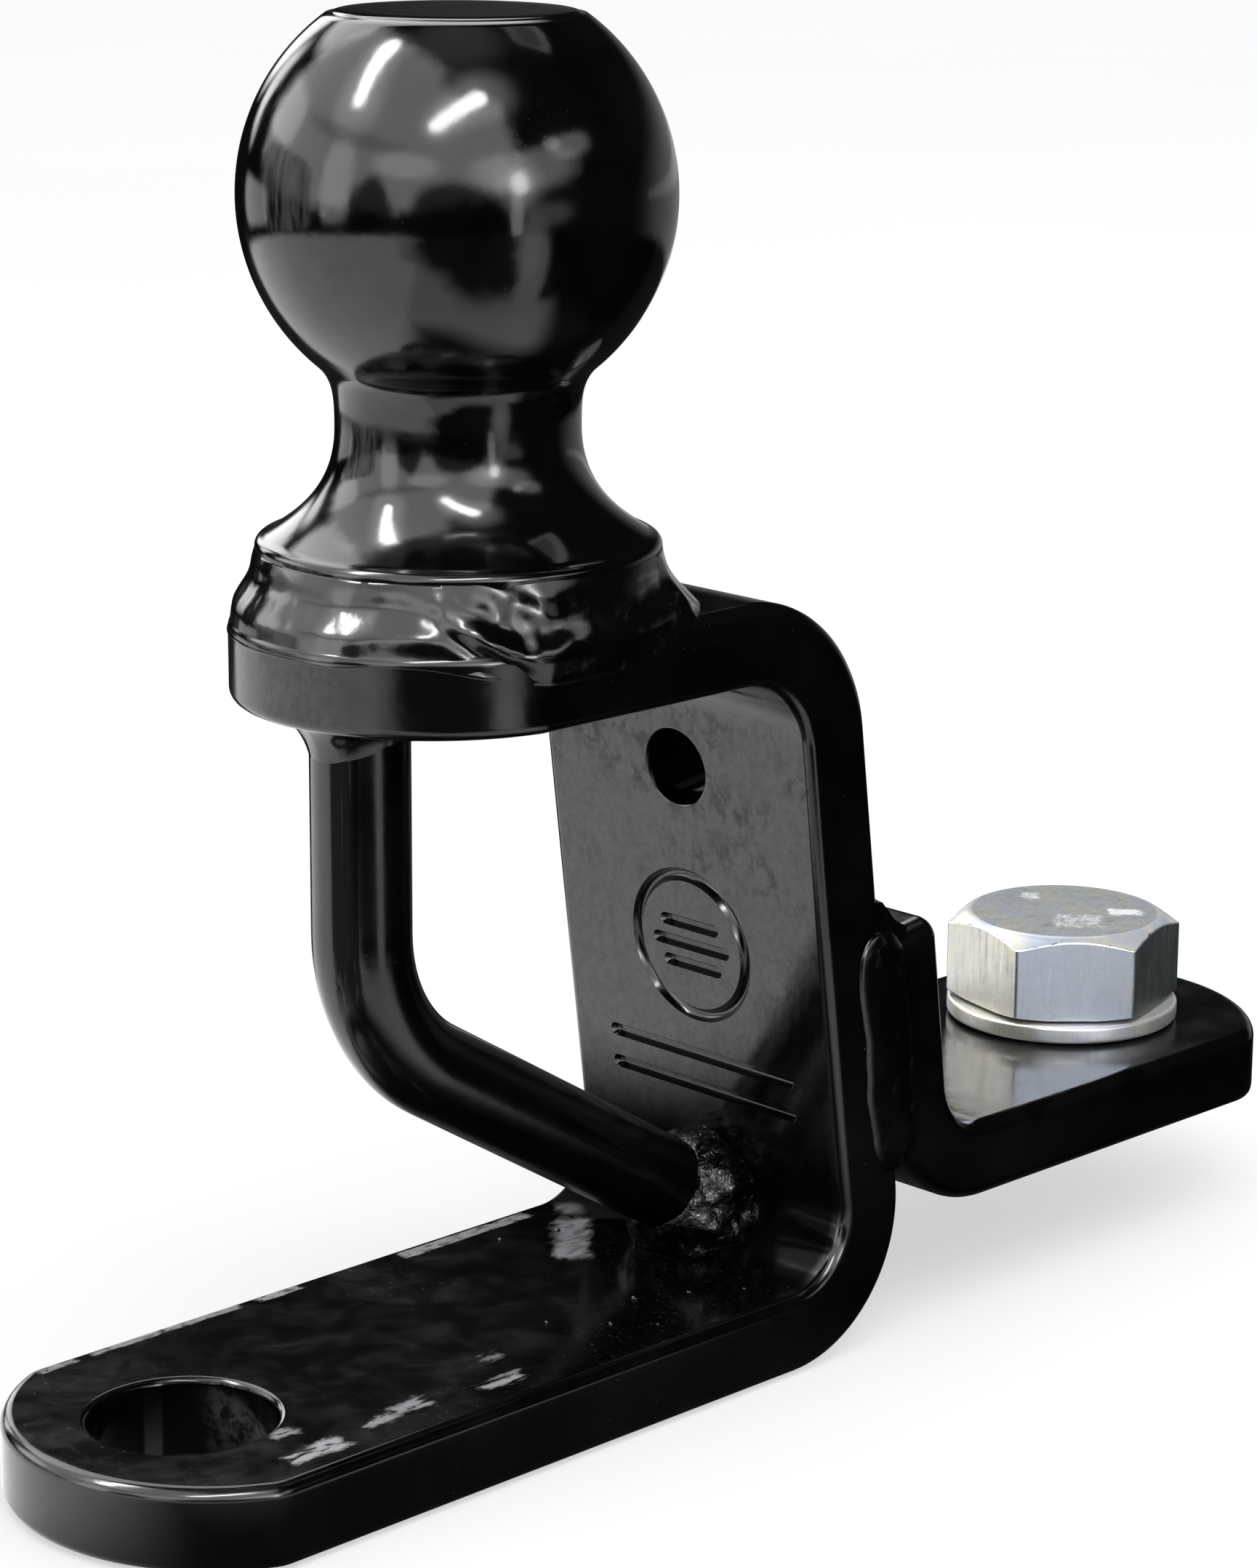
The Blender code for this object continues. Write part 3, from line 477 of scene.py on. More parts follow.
def bezier(points, count):
    """(radius, z) points along a cubic curve, without its first."""
    out = []
    for k in range(1, count + 1):
        t = k / count
        weights = ((1 - t) ** 3, 3 * t * (1 - t) ** 2, 3 * t * t * (1 - t), t ** 3)
        out.append(tuple(weights[0] * points[0][i] + weights[1] * points[1][i]
                         + weights[2] * points[2][i] + weights[3] * points[3][i]
                         for i in (0, 1)))
    return out


def build_ball():
    flat_angle = math.acos((BALL_FLAT_Z - BALL_Z) / BALL_R)
    flat_r = BALL_R * math.sin(flat_angle)
    # faced top, its rim rolled over into the ball: inset from the rim, drop
    profile = [(radius, BALL_FLAT_Z) for radius in (0, 6.0, 10.0)]
    profile += [(flat_r - inset, BALL_FLAT_Z - drop)
                for inset, drop in ((1.1, 0), (0.75, 0.03), (0.45, 0.10), (0.2, 0.22),
                                    (0.02, 0.37))]
    start, stop = flat_angle + math.radians(1.6), math.radians(140)
    steps = 58
    for k in range(steps + 1):
        angle = start + (stop - start) * k / steps
        profile.append((BALL_R * math.sin(angle), BALL_Z + BALL_R * math.cos(angle)))
    # neck, then the flange's top
    radius, z = profile[-1]
    slope = Vector((math.cos(stop), -math.sin(stop)))
    profile += bezier([(radius, z), (radius + slope.x * 2.4, z + slope.y * 2.4),
                       (NECK_R, NECK_Z + 2.8), (NECK_R, NECK_Z)], 14)
    profile += bezier([(NECK_R, NECK_Z), (NECK_R, NECK_Z - 6.2), (17.0, FLANGE_TOP_Z + 2.6),
                       (FLANGE_R - 1.0, FLANGE_TOP_Z)], 22)
    for k in range(1, 10):
        angle = math.radians(24) + math.radians(66) * k / 9
        profile.append((FLANGE_R - 1.25 + 1.25 * math.sin(angle),
                        FLANGE_TOP_Z + 0.09 - 1.05 * (1 - math.cos(angle))))
    profile += [(FLANGE_R, FLANGE_TOP_Z - 3.5), (FLANGE_R, FLANGE_BOTTOM_Z - 0.2),
                (0, FLANGE_BOTTOM_Z - 0.2)]
    return turned(profile, 176)


def ball_weld_section(turn, cos, sin, steps):
    """The (radius, z) section of the ball's bead in one direction."""
    edge = HALF_W / max(abs(sin), 1e-6)
    on_plate = 0.0  # 1 where the plate runs on under the bead, 0 where the bead meets its edge
    if cos > 0:
        on_plate = smooth((edge - 25.5) / 5)
    if cos < 0:
        chord = math.sqrt(max(PLATE_END_R ** 2 - (PLATE_END_X * sin) ** 2, 0))
        edge = min(edge, PLATE_END_X * cos + chord)
    off_plate = 1 - on_plate
    probe = (cos * 24, sin * 24, 97)
    slow = lumps(probe, 11, seed=3.1)
    quick = lumps(probe, 4.2, seed=7.7)
    side = max(0.0, 1 - abs(abs(sin) - 1) / 0.12)

    # the near side is folded and lumpy, round this azimuth in degrees
    fold_azimuth, fold_reach = 238, 27
    azimuth = math.degrees(turn)
    gap = abs(((azimuth - fold_azimuth + 180) % 360) - 180)
    near = smooth(1 - gap / fold_reach)

    foot_r = min(edge, 27.0) + 0.12 + 0.75 * side + 0.18 * slow + 0.35 * near * quick
    foot_z = PLATE_TOP_Z - (1.75 + 0.7 * slow + 1.1 * near) * off_plate - 2.2 * side * off_plate
    if on_plate > 0:
        foot_r = off_plate * foot_r + on_plate * (26.6 + 0.5 * slow)
        foot_z = off_plate * foot_z + on_plate * (PLATE_TOP_Z - 0.1)
    top_r, top_z = FLANGE_R - 0.02, FLANGE_TOP_Z - 1.15 + 0.10 * quick

    section = [(FLANGE_R - 2.5, top_z - 0.15), (FLANGE_R - 0.4, top_z - 0.05)]
    for k in range(steps + 1):
        down = k / steps
        bulge = math.sin(math.pi * down)
        base = top_r + (foot_r - top_r) * down
        z = top_z - (top_z - foot_z) * down
        # a shallow hollow under the rim and a soft shoulder at two thirds
        shoulder = 0.55 * math.exp(-((down - 0.70 - 0.05 * slow) / 0.20) ** 2)
        shoulder -= 0.30 * math.exp(-((down - 0.30) / 0.16) ** 2)
        hump = shoulder * off_plate * math.sin(math.pi * min(1.0, down * 1.02))
        hump += 0.7 * side * bulge - 1.0 * on_plate * bulge
        scallop = abs(math.sin(turn * 23 + 1.5 * slow + (z - 96) * 0.25)) - 0.6
        lump = lumps((base * cos, base * sin, z), 4.6, seed=1.4) * (0.16 + 0.95 * near)
        lump *= math.sin(math.pi * min(1, down + 0.06)) * (1 - 0.6 * on_plate)
        # an S-shaped fold of metal
        fold_at = 0.52 + 0.26 * math.sin(2.6 * (azimuth - fold_azimuth) / fold_reach + 0.5)
        fold = 0.75 * near * math.exp(-((down - fold_at) / 0.13) ** 2)
        fold -= 0.55 * near * math.exp(-((down - fold_at - 0.24) / 0.10) ** 2)
        section.append((base + hump + lump + scallop * 0.035 * bulge + fold, z))
    # tucked in under the foot: inset, drop off the plate, drop everywhere
    for inset, drop, sink in ((0.35, 0.28, 0.1), (0.9, 0.38, 0.2), (2.2, 0.6, 0.4)):
        section.append((foot_r - inset, foot_z - drop * off_plate - sink))
    section.append((16, PLATE_TOP_Z - 2.5))
    return section


def build_ball_weld():
    """The bead between the flange's rim and the plate."""
    steps = 30
    rings = []
    for turn, cos, sin in around(460):
        section = ball_weld_section(turn, cos, sin, steps)
        rings.append([(radius * cos, radius * sin, z) for radius, z in section])
    return loft(rings, closed=True)


# ---------------------------------------------------------------- rod and its welds

# the lower weld's skin: distance along the rod from its end, height over the rod
LOWER_WELD = [(-6.4, -0.35), (-6.1, 0.15), (-5.2, 1.0), (-4.2, 1.75), (-3.2, 2.3),
              (-2.2, 2.7), (-1.2, 3.0), (-0.2, 3.15), (0.8, 3.3), (1.8, 3.4),
              (2.8, 3.55), (3.8, 3.6), (4.8, 3.4), (6.0, 2.9)]


def rod_path():
    """The rod's middle line, from the plate down to the tongue."""
    turn = math.acos(ROD_SLOPE.dot(Vector((0, 0, -1))))
    corner_z = ROD_LINE_Z - ROD_DROP * (ROD_X - ROD_LINE_X)
    reach = ROD_BEND_R * math.tan(turn / 2)
    centre = Vector((ROD_X, 0, corner_z)) + Vector((0, 0, 1)) * reach
    centre += Vector((1, 0, 0)) * ROD_BEND_R
    top_z = PLATE_BOTTOM_Z + 0.4
    points = [Vector((ROD_X, 0, top_z + (centre.z - top_z) * k / 10)) for k in range(10)]
    steps = max(6, round(math.degrees(turn) / 3.0))
    for k in range(steps + 1):
        angle = math.pi + turn * k / steps
        points.append(centre + Vector((math.cos(angle), 0, math.sin(angle))) * ROD_BEND_R)
    bend_end = points[-1]
    end = Vector((ROD_LINE_X + (ROD_LINE_Z - ROD_END_Z) / ROD_DROP, 0, ROD_END_Z))
    return points + [bend_end.lerp(end, k / 12) for k in range(1, 13)]


def build_rod():
    points = rod_path()
    side = Vector((0, 1, 0))
    rings = []
    for i, point in enumerate(points):
        run = (points[min(len(points) - 1, i + 1)] - points[max(0, i - 1)]).normalized()
        other = run.cross(side).normalized()
        # the bend is pinched a little, as a cold-bent rod is
        bend = max(0.0, 1 - abs(i - 19) / 9)
        ring = []
        for _, cos, sin in around(64):
            radius = ROD_R * (1 - 0.012 * bend * abs(cos))
            ring.append(tuple(point + (side * cos + other * sin) * radius))
        rings.append(ring)
    return loft(rings)


def build_rod_upper_weld():
    """The fillet between the rod and the plate, fullest towards -X."""
    top = PLATE_BOTTOM_Z + 0.15
    inner = ROD_R - 0.25
    steps = 14
    rings = []
    for turn, cos, sin in around(160):
        wave = lumps((cos * 8, sin * 8, 80), 4.0, seed=5.5, octaves=3)
        size = 0.40 + 0.60 * max(0.0, math.cos(turn - math.radians(170))) ** 0.7
        reach_r = 1.6 + 2.7 * size
        reach_z = 2.1 + 4.2 * size
        section = [(inner - 1.0, top), (inner + reach_r + 0.35 * wave, top)]
        for k in range(1, steps):
            down = k / steps
            angle = down * math.pi / 2
            bulge = math.sin(math.pi * down)
            lump = lumps((cos * 9, sin * 9, down * 9), 6.0, seed=2.2) * 0.10 * bulge
            scallop = (abs(math.sin(turn * 9 + down * 2.0)) - 0.6) * 0.012 * bulge
            radius = inner + reach_r * (1 - math.sin(angle)) + 0.35 * (1 - down)
            section.append((radius + 0.35 * wave * (1 - down) + lump + scallop,
                            top - reach_z * (1 - math.cos(angle)) - 0.5 * down))
        section += [(inner + 0.05, top - reach_z - 0.45), (inner - 1.0, top - reach_z - 0.5)]
        rings.append([(ROD_X + radius * cos, radius * sin, z) for radius, z in section])
    return loft(rings, closed=True)


def build_rod_lower_weld():
    """The lumpy collar where the rod meets the tongue and the upright."""
    end = rod_path()[-1]
    side = Vector((0, 1, 0))
    other = ROD_SLOPE.cross(side).normalized()
    rows = []
    for this, after in zip(LOWER_WELD[:-1], LOWER_WELD[1:]):
        for k in range(3):
            part = k / 3
            rows.append((this[0] + (after[0] - this[0]) * part,
                         this[1] + (after[1] - this[1]) * part))
    rows.append(LOWER_WELD[-1])
    rings = []
    for _, cos, sin in around(200):
        out = side * cos + other * sin
        ring = []
        for j, (along, over) in enumerate(rows):
            point = end + ROD_SLOPE * along + out * (ROD_R + over)
            fade = min(1.0, j / 6)
            lump = lumps(point, 4.4, seed=9.1) * 1.5 + lumps(point, 2.1, seed=4.4) * 0.55 - 0.1
            toe = lumps((point[0], point[1], 30), 3.0, seed=2.0) * 0.9 * (1 - fade)
            ring.append(tuple(point + out * lump * fade + ROD_SLOPE * toe))
        # back through the inside of the rod
        for along, radius in ((6.0, 0.8), (-1.0, 0.8), (-6.4, ROD_R - 1.2)):
            ring.append(tuple(end + ROD_SLOPE * along + out * radius))
        rings.append(ring)
    weld = loft(rings, closed=True)
    # what would stand inside the tongue and the upright is pulled back to just under their skins
    floor_z = TONGUE_TOP_Z - 0.25
    for vert in weld.data.vertices:
        if vert.co.z / UNIT < floor_z:
            vert.co.z = floor_z * UNIT
        wall_x = lean_x(UPRIGHT_X0, vert.co.z / UNIT) + 0.25
        if vert.co.x / UNIT > wall_x:
            vert.co.x = wall_x * UNIT
    with editing(weld.data) as work:
        bmesh.ops.remove_doubles(work, verts=work.verts, dist=2e-6)
        bmesh.ops.recalc_face_normals(work, faces=work.faces)
    return weld


# ---------------------------------------------------------------- bracket and its welds

def build_bracket():
    leg_x0 = (LEG_FRONT_X0 + LEG_BACK_X0) / 2
    foot_z = FOOT_BOTTOM_Z + HALF_T
    corners = [
        (lean_x(leg_x0, LEG_TOP_Z) + 0.06, LEG_TOP_Z - 0.45, 0),
        (lean_x(leg_x0, foot_z), foot_z, BRACKET_BEND_R - HALF_T),
        (BRACKET_HIGH.x, foot_z, 0),
    ]
    obj = bent_bar(corners, bar_end(0, 2.6), bar_end(FOOT_END_R, 5.5), BRACKET_EDGE_R)
    hole_z = (FOOT_BOTTOM_Z + FOOT_TOP_Z) / 2
    drill(obj, FOOT_HOLE_R, flare=0.5, steps=96,
          matrix=Matrix.Translation((BOLT_X * UNIT, 0, hole_z * UNIT)))
    return obj


def bead(start, end, out, seed, flat, pitch, wide, calm, blunt):
    """A laid bead with overlapping scallops between two points.

    out is the way it stands proud; flat and wide scale its height and width, pitch is the
    scallops' spacing, calm scales its unevenness and blunt how fast its ends fill out.
    """
    start, end = Vector(start), Vector(end)
    length = (end - start).length
    run = (end - start).normalized()
    cross = run.cross(Vector(out).normalized()).normalized()
    out = cross.cross(run).normalized()
    count = int(length / (0.22))
    rings = []
    for i in range(count + 1):
        part = i / count
        cap = min(part, 1 - part) * length / BEAD_SIZE
        taper = math.sqrt(max(0.0, 1 - (1 - min(1.0, cap * blunt)) ** 2)) * 0.97 + 0.03
        middle = start.lerp(end, part)
        drift = cross * lumps(middle, 7.0, seed) * 0.7
        ring = []
        for _, cos, sin in around(36):
            skin = (middle + drift + cross * BEAD_SIZE * wide * taper * cos
                    + out * BEAD_SIZE * taper * flat * sin)
            phase = (part * length + 0.9 * cos ** 2) / pitch + seed
            scallop = (abs(math.sin(math.pi * phase)) - 0.65) * 0.07 * calm
            lump = lumps(skin, 5.5, seed + 2) * 0.75 * calm
            swell = 1 + (scallop + lump) * 0.6 / BEAD_SIZE * taper
            across = cross * wide * cos + out * flat * sin
            ring.append(tuple(middle + drift + across * BEAD_SIZE * taper * swell))
        rings.append(ring)
    return loft(rings)


def side_bead(side, seed, calm):
    """The upright bead along one side of the joint; side is -1 near, 1 far."""
    ends = [(seam_x(z) - 0.5, side * SEAM_Y, z) for z in (21.0, 51.2)]
    return bead(*ends, (0, side, 0), seed, flat=0.44, pitch=3.4, wide=1.75, calm=calm,
                blunt=0.45)


def build_near_bead():
    return side_bead(-1, seed=2.0, calm=0.16)


def build_far_bead():
    return side_bead(1, seed=6.0, calm=0.3)


def build_bottom_bead():
    ends = [(seam_x(20.5), y, 20.3) for y in (-17.0, 17.0)]
    return bead(*ends, (-0.1, 0, -1), seed=9.0, flat=0.75, pitch=3.1, wide=1.0, calm=1.0,
                blunt=0.9)


def build_top_weld():
    """The fillet across the top of the bracket's leg."""
    count = 190
    steps = 16
    x0 = lean_x(UPRIGHT_OUT_X0, LEG_TOP_Z)
    rings = []
    for i in range(count + 1):
        part = i / count
        y = (-1 + 2 * part) * SEAM_Y
        fade = 0.80 + 0.20 * smooth(14 * min(part, 1 - part))
        wave = lumps((0, y, 0), 5.0, seed=3.0)
        rise = 4.6 * fade + 0.4 * wave
        reach = 5.2 * fade + 0.4 * wave
        ring = [(x0 - 2.2, y, LEG_TOP_Z + rise),
                (x0 - 0.6 - LEAN * rise, y, LEG_TOP_Z + rise + 0.1)]
        for k in range(1, steps):
            down = k / steps
            bulge = math.sin(math.pi * down)
            lump = lumps((down * 7, y, down * 3), 2.8, seed=6.0, octaves=3) * 0.35
            scallop = (abs(math.sin(y * 1.65 + 1.2 * bulge)) - 0.6) * 0.22
            proud = (lump + scallop) * bulge
            ring.append((x0 - 0.3 + reach * down + proud * 0.7, y,
                         LEG_TOP_Z + rise * ((1 - down) ** 1.55) + 0.35 + proud))
        ring += [(x0 + reach + 0.15, y, LEG_TOP_Z - 0.2), (x0 + reach - 0.6, y, LEG_TOP_Z - 1.4),
                 (x0 - 2.2, y, LEG_TOP_Z - 1.4)]
        rings.append(ring)
    return loft(rings)


# drops of spatter on the tongue: x, y, radius
SPATTER = [(18.5, -9.5, 0.42), (11.0, -13.2, 0.30), (24.5, -12.4, 0.34), (6.0, -7.8, 0.26),
           (27.5, 13.0, 0.36), (20.4, 15.5, 0.30), (30.0, -16.0, 0.28), (14.8, -17.0, 0.22)]


def build_spatter():
    """Drops of weld spatter frozen under the paint, near the lower rod weld."""
    mesh = bpy.data.meshes.new("piece")
    with editing(mesh) as drops:
        for i, (x, y, radius) in enumerate(SPATTER):
            drop = bpy.data.meshes.new("drop")
            with editing(drop) as work:
                bmesh.ops.create_icosphere(work, subdivisions=3, radius=radius * UNIT)
                for vert in work.verts:
                    point = vert.co / UNIT
                    place = (point[0] + i * 3, point[1], point[2])
                    vert.co *= 1 + 0.22 * lumps(place, 0.5, seed=i)
                    vert.co.z *= 0.72
                    vert.co += Vector((x, y, TONGUE_TOP_Z + radius * 0.25)) * UNIT
            drops.from_mesh(drop)
    return new_object("piece", mesh)


# ---------------------------------------------------------------- washer and bolt

def build_washer():
    """A split spring washer, clamped almost flat."""
    low, high = WASHER_LOW.z, WASHER_HIGH.z
    middle_z = (low + high) / 2
    rim, bore_rim = 0.45, 0.3  # edge radii
    outer, inner = WASHER_R - rim, WASHER_BORE_R + bore_rim
    section = []
    for x, z, radius, start in ((outer, high - rim, rim, 90), (outer, low + rim, rim, 0),
                                (inner, low + bore_rim, bore_rim, 270),
                                (inner, high - bore_rim, bore_rim, 180)):
        for k in range(5):
            angle = math.radians(start - 22.5 * k)
            section.append((x + radius * math.cos(angle), z + radius * math.sin(angle)))
    gap = math.radians(5.4)
    split = math.radians(38)
    # the two ends are cut on a slant and stand a hair apart in height
    slope = math.tan(math.radians(22))
    middle_r = (WASHER_BORE_R + WASHER_R) / 2
    count = 200
    rings = []
    for i in range(count + 1):
        part = i / count
        lift = 0.10 * (part - 0.5)
        ring = []
        for radius, z in section:
            slant = slope * (z - middle_z) / middle_r
            turn = split + gap / 2 + (2 * math.pi - gap) * part - slant
            lifted = z + lift if (z > middle_z) == (lift < 0) else z
            ring.append((BOLT_X + radius * math.cos(turn), radius * math.sin(turn), lifted))
        rings.append(ring)
    return loft(rings, closed=False)


def prism(points, low, high):
    """An upright solid from a filled outline."""
    curve = bpy.data.curves.new("outline", "CURVE")
    curve.dimensions = "2D"
    curve.fill_mode = "BOTH"
    curve.extrude = (high - low) / 2 * UNIT
    spline = curve.splines.new("POLY")
    spline.points.add(len(points) - 1)
    for point, (x, y) in zip(spline.points, points):
        point.co = (x * UNIT, y * UNIT, 0, 1)
    spline.use_cyclic_u = True
    outline = new_object("outline", curve)
    mesh = evaluated_mesh(outline)
    bpy.data.objects.remove(outline, do_unlink=True)
    with editing(mesh) as work:
        bmesh.ops.remove_doubles(work, verts=work.verts, dist=1e-6)
        bmesh.ops.dissolve_limit(work, angle_limit=0.0005, verts=work.verts, edges=work.edges,
                                 delimit=set())
        work.transform(Matrix.Translation((0, 0, (low + high) / 2 * UNIT)))
        bmesh.ops.recalc_face_normals(work, faces=work.faces)
    return new_object("piece", mesh)


def build_bolt_head():
    corner = HEAD_FLATS / math.sqrt(3)
    turns = [BOLT_TURN + k * math.pi / 3 for k in range(6)]
    head = prism([(corner * math.cos(t), corner * math.sin(t)) for t in turns],
                 HEAD_LOW, HEAD_HIGH)
    # rolled vertical corners
    with editing(head.data) as work:
        upright = [e for e in work.edges if abs(e.verts[0].co.z - e.verts[1].co.z) > 5 * UNIT]
        bmesh.ops.bevel(work, geom=upright, offset=0.35 * UNIT, segments=4, profile=0.5,
                        affect="EDGES")
    # crowned top: share of the face radius, drop
    face_r = HEAD_FLATS / 2
    profile = [(0, HEAD_HIGH - 0.02)]
    profile += [(face_r * share, HEAD_HIGH - drop)
                for share, drop in ((0.55, 0), (0.90, 0.03), (0.935, 0.10), (0.965, 0.28))]
    start_r, start_z = profile[-1]
    end_r, end_z = corner + 0.35, HEAD_HIGH - 1.85
    for k in range(1, 9):
        part = k / 8
        profile.append((start_r + (end_r - start_r) * part,
                        start_z + (end_z - start_z) * part - 0.12 * math.sin(math.pi * part)))
    profile += [(end_r, HEAD_LOW + 0.5), (face_r * 1.02, HEAD_LOW), (0, HEAD_LOW)]
    cut(head, turned(profile, 144), "INTERSECT")
    mod = head.modifiers.new("edge", "BEVEL")
    mod.width = 0.16 * UNIT
    mod.segments = 3
    mod.limit_method = "ANGLE"
    mod.angle_limit = math.radians(24)
    mod.use_clamp_overlap = False
    apply_modifiers(head)
    head.data.transform(Matrix.Translation((BOLT_X * UNIT, 0, 0)))
    return head


def build_thread():
    """5/8-11 thread: one continuous helix, run out under the head and tapered at the tip."""
    per_turn = 72
    top, bottom = HEAD_LOW + 0.6, SHANK_LOW
    rows = int((top - bottom) / (THREAD_PITCH / 16))
    rings = []
    for i in range(rows + 1):
        z = top + (bottom - top) * i / rows
        fade = min(1.0, max(0.0, (HEAD_LOW - 1.1 - z) / 1.6))
        tip = max(0.0, 1.4 - (z - bottom))
        ring = []
        for k, (_, cos, sin) in enumerate(around(per_turn)):
            phase = (z / THREAD_PITCH - k / per_turn) % 1.0
            wave = abs(phase - 0.5) * 2  # 0 at the root, 1 at the crest
            shape = min(1.0, max(0.0, (wave - 0.12) / 0.76))
            radius = SHANK_R - 0.02 - THREAD_DEPTH * (1 - shape) * fade
            radius = min(radius, SHANK_R - 1.15 * tip / 1.4)
            ring.append((BOLT_X + radius * cos, radius * sin, z))
        rings.append(ring)
    return loft(rings)


# ---------------------------------------------------------------- shader graphs

class Value:
    """An output in a shader graph; arithmetic on it adds Math nodes."""

    def __init__(self, graph, socket):
        self.graph = graph
        self.socket = socket

    def __add__(self, other):
        return self.graph.math("ADD", self, other)

    def __radd__(self, other):
        return self.graph.math("ADD", other, self)

    def __sub__(self, other):
        return self.graph.math("SUBTRACT", self, other)

    def __rsub__(self, other):
        return self.graph.math("SUBTRACT", other, self)

    def __mul__(self, other):
        return self.graph.math("MULTIPLY", self, other)

    def __truediv__(self, other):
        return self.graph.math("DIVIDE", self, other)

    def __pow__(self, other):
        return self.graph.math("POWER", self, other)

    def __abs__(self):
        return self.graph.math("ABSOLUTE", self)

    def ramp(self, low, high, at_low=0.0, at_high=1.0):
        """Goes smoothly from at_low to at_high as this goes from low to high."""
        node = self.graph.node("MapRange", {"interpolation_type": "SMOOTHSTEP", "clamp": True},
                               Value=self, From_Min=low, From_Max=high, To_Min=at_low,
                               To_Max=at_high)
        return Value(self.graph, node.outputs[0])

    def fall(self, low, high):
        """1 up to low, falling to 0 at high."""
        return self.ramp(low, high, 1.0, 0.0)

    def band(self, low, high, soft):
        """1 between low and high, falling to 0 over soft on both sides."""
        return self.ramp(low - soft, low) * self.fall(high, high + soft)


class Graph:
    """A node tree being filled; noises are looked up at the vector kept in place."""

    def __init__(self, tree):
        self.tree = tree
        self.place = None
        tree.nodes.clear()

    def feed(self, socket, value):
        if isinstance(value, Value):
            self.tree.links.new(value.socket, socket)
        else:
            socket.default_value = value

    def node(self, kind, settings=None, *slots, **inputs):
        """Adds a node; slots feed its first inputs in order, the others go by name."""
        node = self.tree.nodes.new("ShaderNode" + kind)
        for key, value in (settings or {}).items():
            setattr(node, key, value)
        for socket, value in zip(node.inputs, slots):
            self.feed(socket, value)
        for key, value in inputs.items():
            self.feed(node.inputs[key.replace("_", " ")], value)
        return node

    def output(self, kind, key=0, settings=None, *slots, **inputs):
        return Value(self, self.node(kind, settings, *slots, **inputs).outputs[key])

    def math(self, operation, first, second=0.0, third=0.0, clamp=False):
        settings = {"operation": operation, "use_clamp": clamp}
        return self.output("Math", 0, settings, first, second, third)

    def split(self, vector):
        node = self.node("SeparateXYZ", None, vector)
        return [Value(self, socket) for socket in node.outputs]

    def normal_parts(self):
        return self.split(self.output("NewGeometry", "Normal"))

    def ray_kinds(self):
        """Whether the ray comes from the camera, and whether it is a reflection."""
        node = self.node("LightPath")
        return [Value(self, node.outputs[key]) for key in ("Is Camera Ray", "Is Glossy Ray")]

    def noise(self, scale, detail, rough, twist=0.0, stretch=None):
        place = self.place
        if stretch:
            place = self.output("Mapping", Vector=place, Scale=stretch)
        return self.output("TexNoise", "Fac", Vector=place, Scale=scale, Detail=detail,
                           Roughness=rough, Distortion=twist)

    def mix(self, factor, under, over):
        node = self.node("Mix", {"data_type": "RGBA"})
        for key, value in ((0, factor), (6, under), (7, over)):
            self.feed(node.inputs[key], value)
        return Value(self, node.outputs[2])

    def mix_shader(self, factor, first, second):
        return self.output("MixShader", 0, None, factor, first, second)


def maximum(first, second):
    return first.graph.math("MAXIMUM", first, second)


def strongest(values):
    return reduce(maximum, values)


def distance(first, second):
    return first.graph.math("SQRT", first * first + second * second)


def azimuth_of(x, y):
    return x.graph.math("ARCTAN2", y, x) * (180 / math.pi)


def grey(value, tint=(1, 1, 1)):
    return (value * tint[0], value * tint[1], value * tint[2], 1)


def new_material(name):
    """A material and its graph, whose noises lie in millimetres of the object's own place."""
    mat = bpy.data.materials.new(name)
    mat.use_nodes = True
    graph = Graph(mat.node_tree)
    coords = graph.output("TexCoord", "Object")
    graph.place = graph.output("VectorMath", 0, {"operation": "SCALE"}, coords, Scale=1000.0)
    return mat, graph


# ---------------------------------------------------------------- black enamel

# painted reflections by the tongue's near edge, laid as rubbed patches: centre x, y, half sizes x,
# y, strength
NEAR_SHEEN_PATCHES = [(-36.8, -17.3, 3.8, 1.6, 1.0), (-26.4, -15.8, 1.8, 0.8, 0.75),
             (-21.6, -15.0, 2.2, 1.2, 0.75), (-9.4, -16.7, 2.6, 1.0, 0.9),
             (-5.6, -10.9, 0.7, 0.5, 0.45), (-36.4, -11.2, 0.9, 1.4, 0.7)]
# the painted highlight along its far rolled edge, a broken line: x from, to, y from, to, strength
FAR_EDGE_HIGHLIGHTS = [(9.0, 28.0, 19.0, 20.5, 1.0), (-13.0, -7.5, 19.9, 21.1, 0.9),
            (-26.5, -16.5, 20.2, 21.3, 0.75), (-36.5, -28.5, 20.2, 21.2, 0.7),
            (-44.0, -40.5, 20.0, 21.0, 0.6)]
# centre of a painted reflection on the tongue's top, by the rod's far side
REFLECTION_X, REFLECTION_Y = 27.2, 10.0
TONGUE_FADE = (12.0, 14.0)  # heights over which the tongue's scuffs and painted sheen end
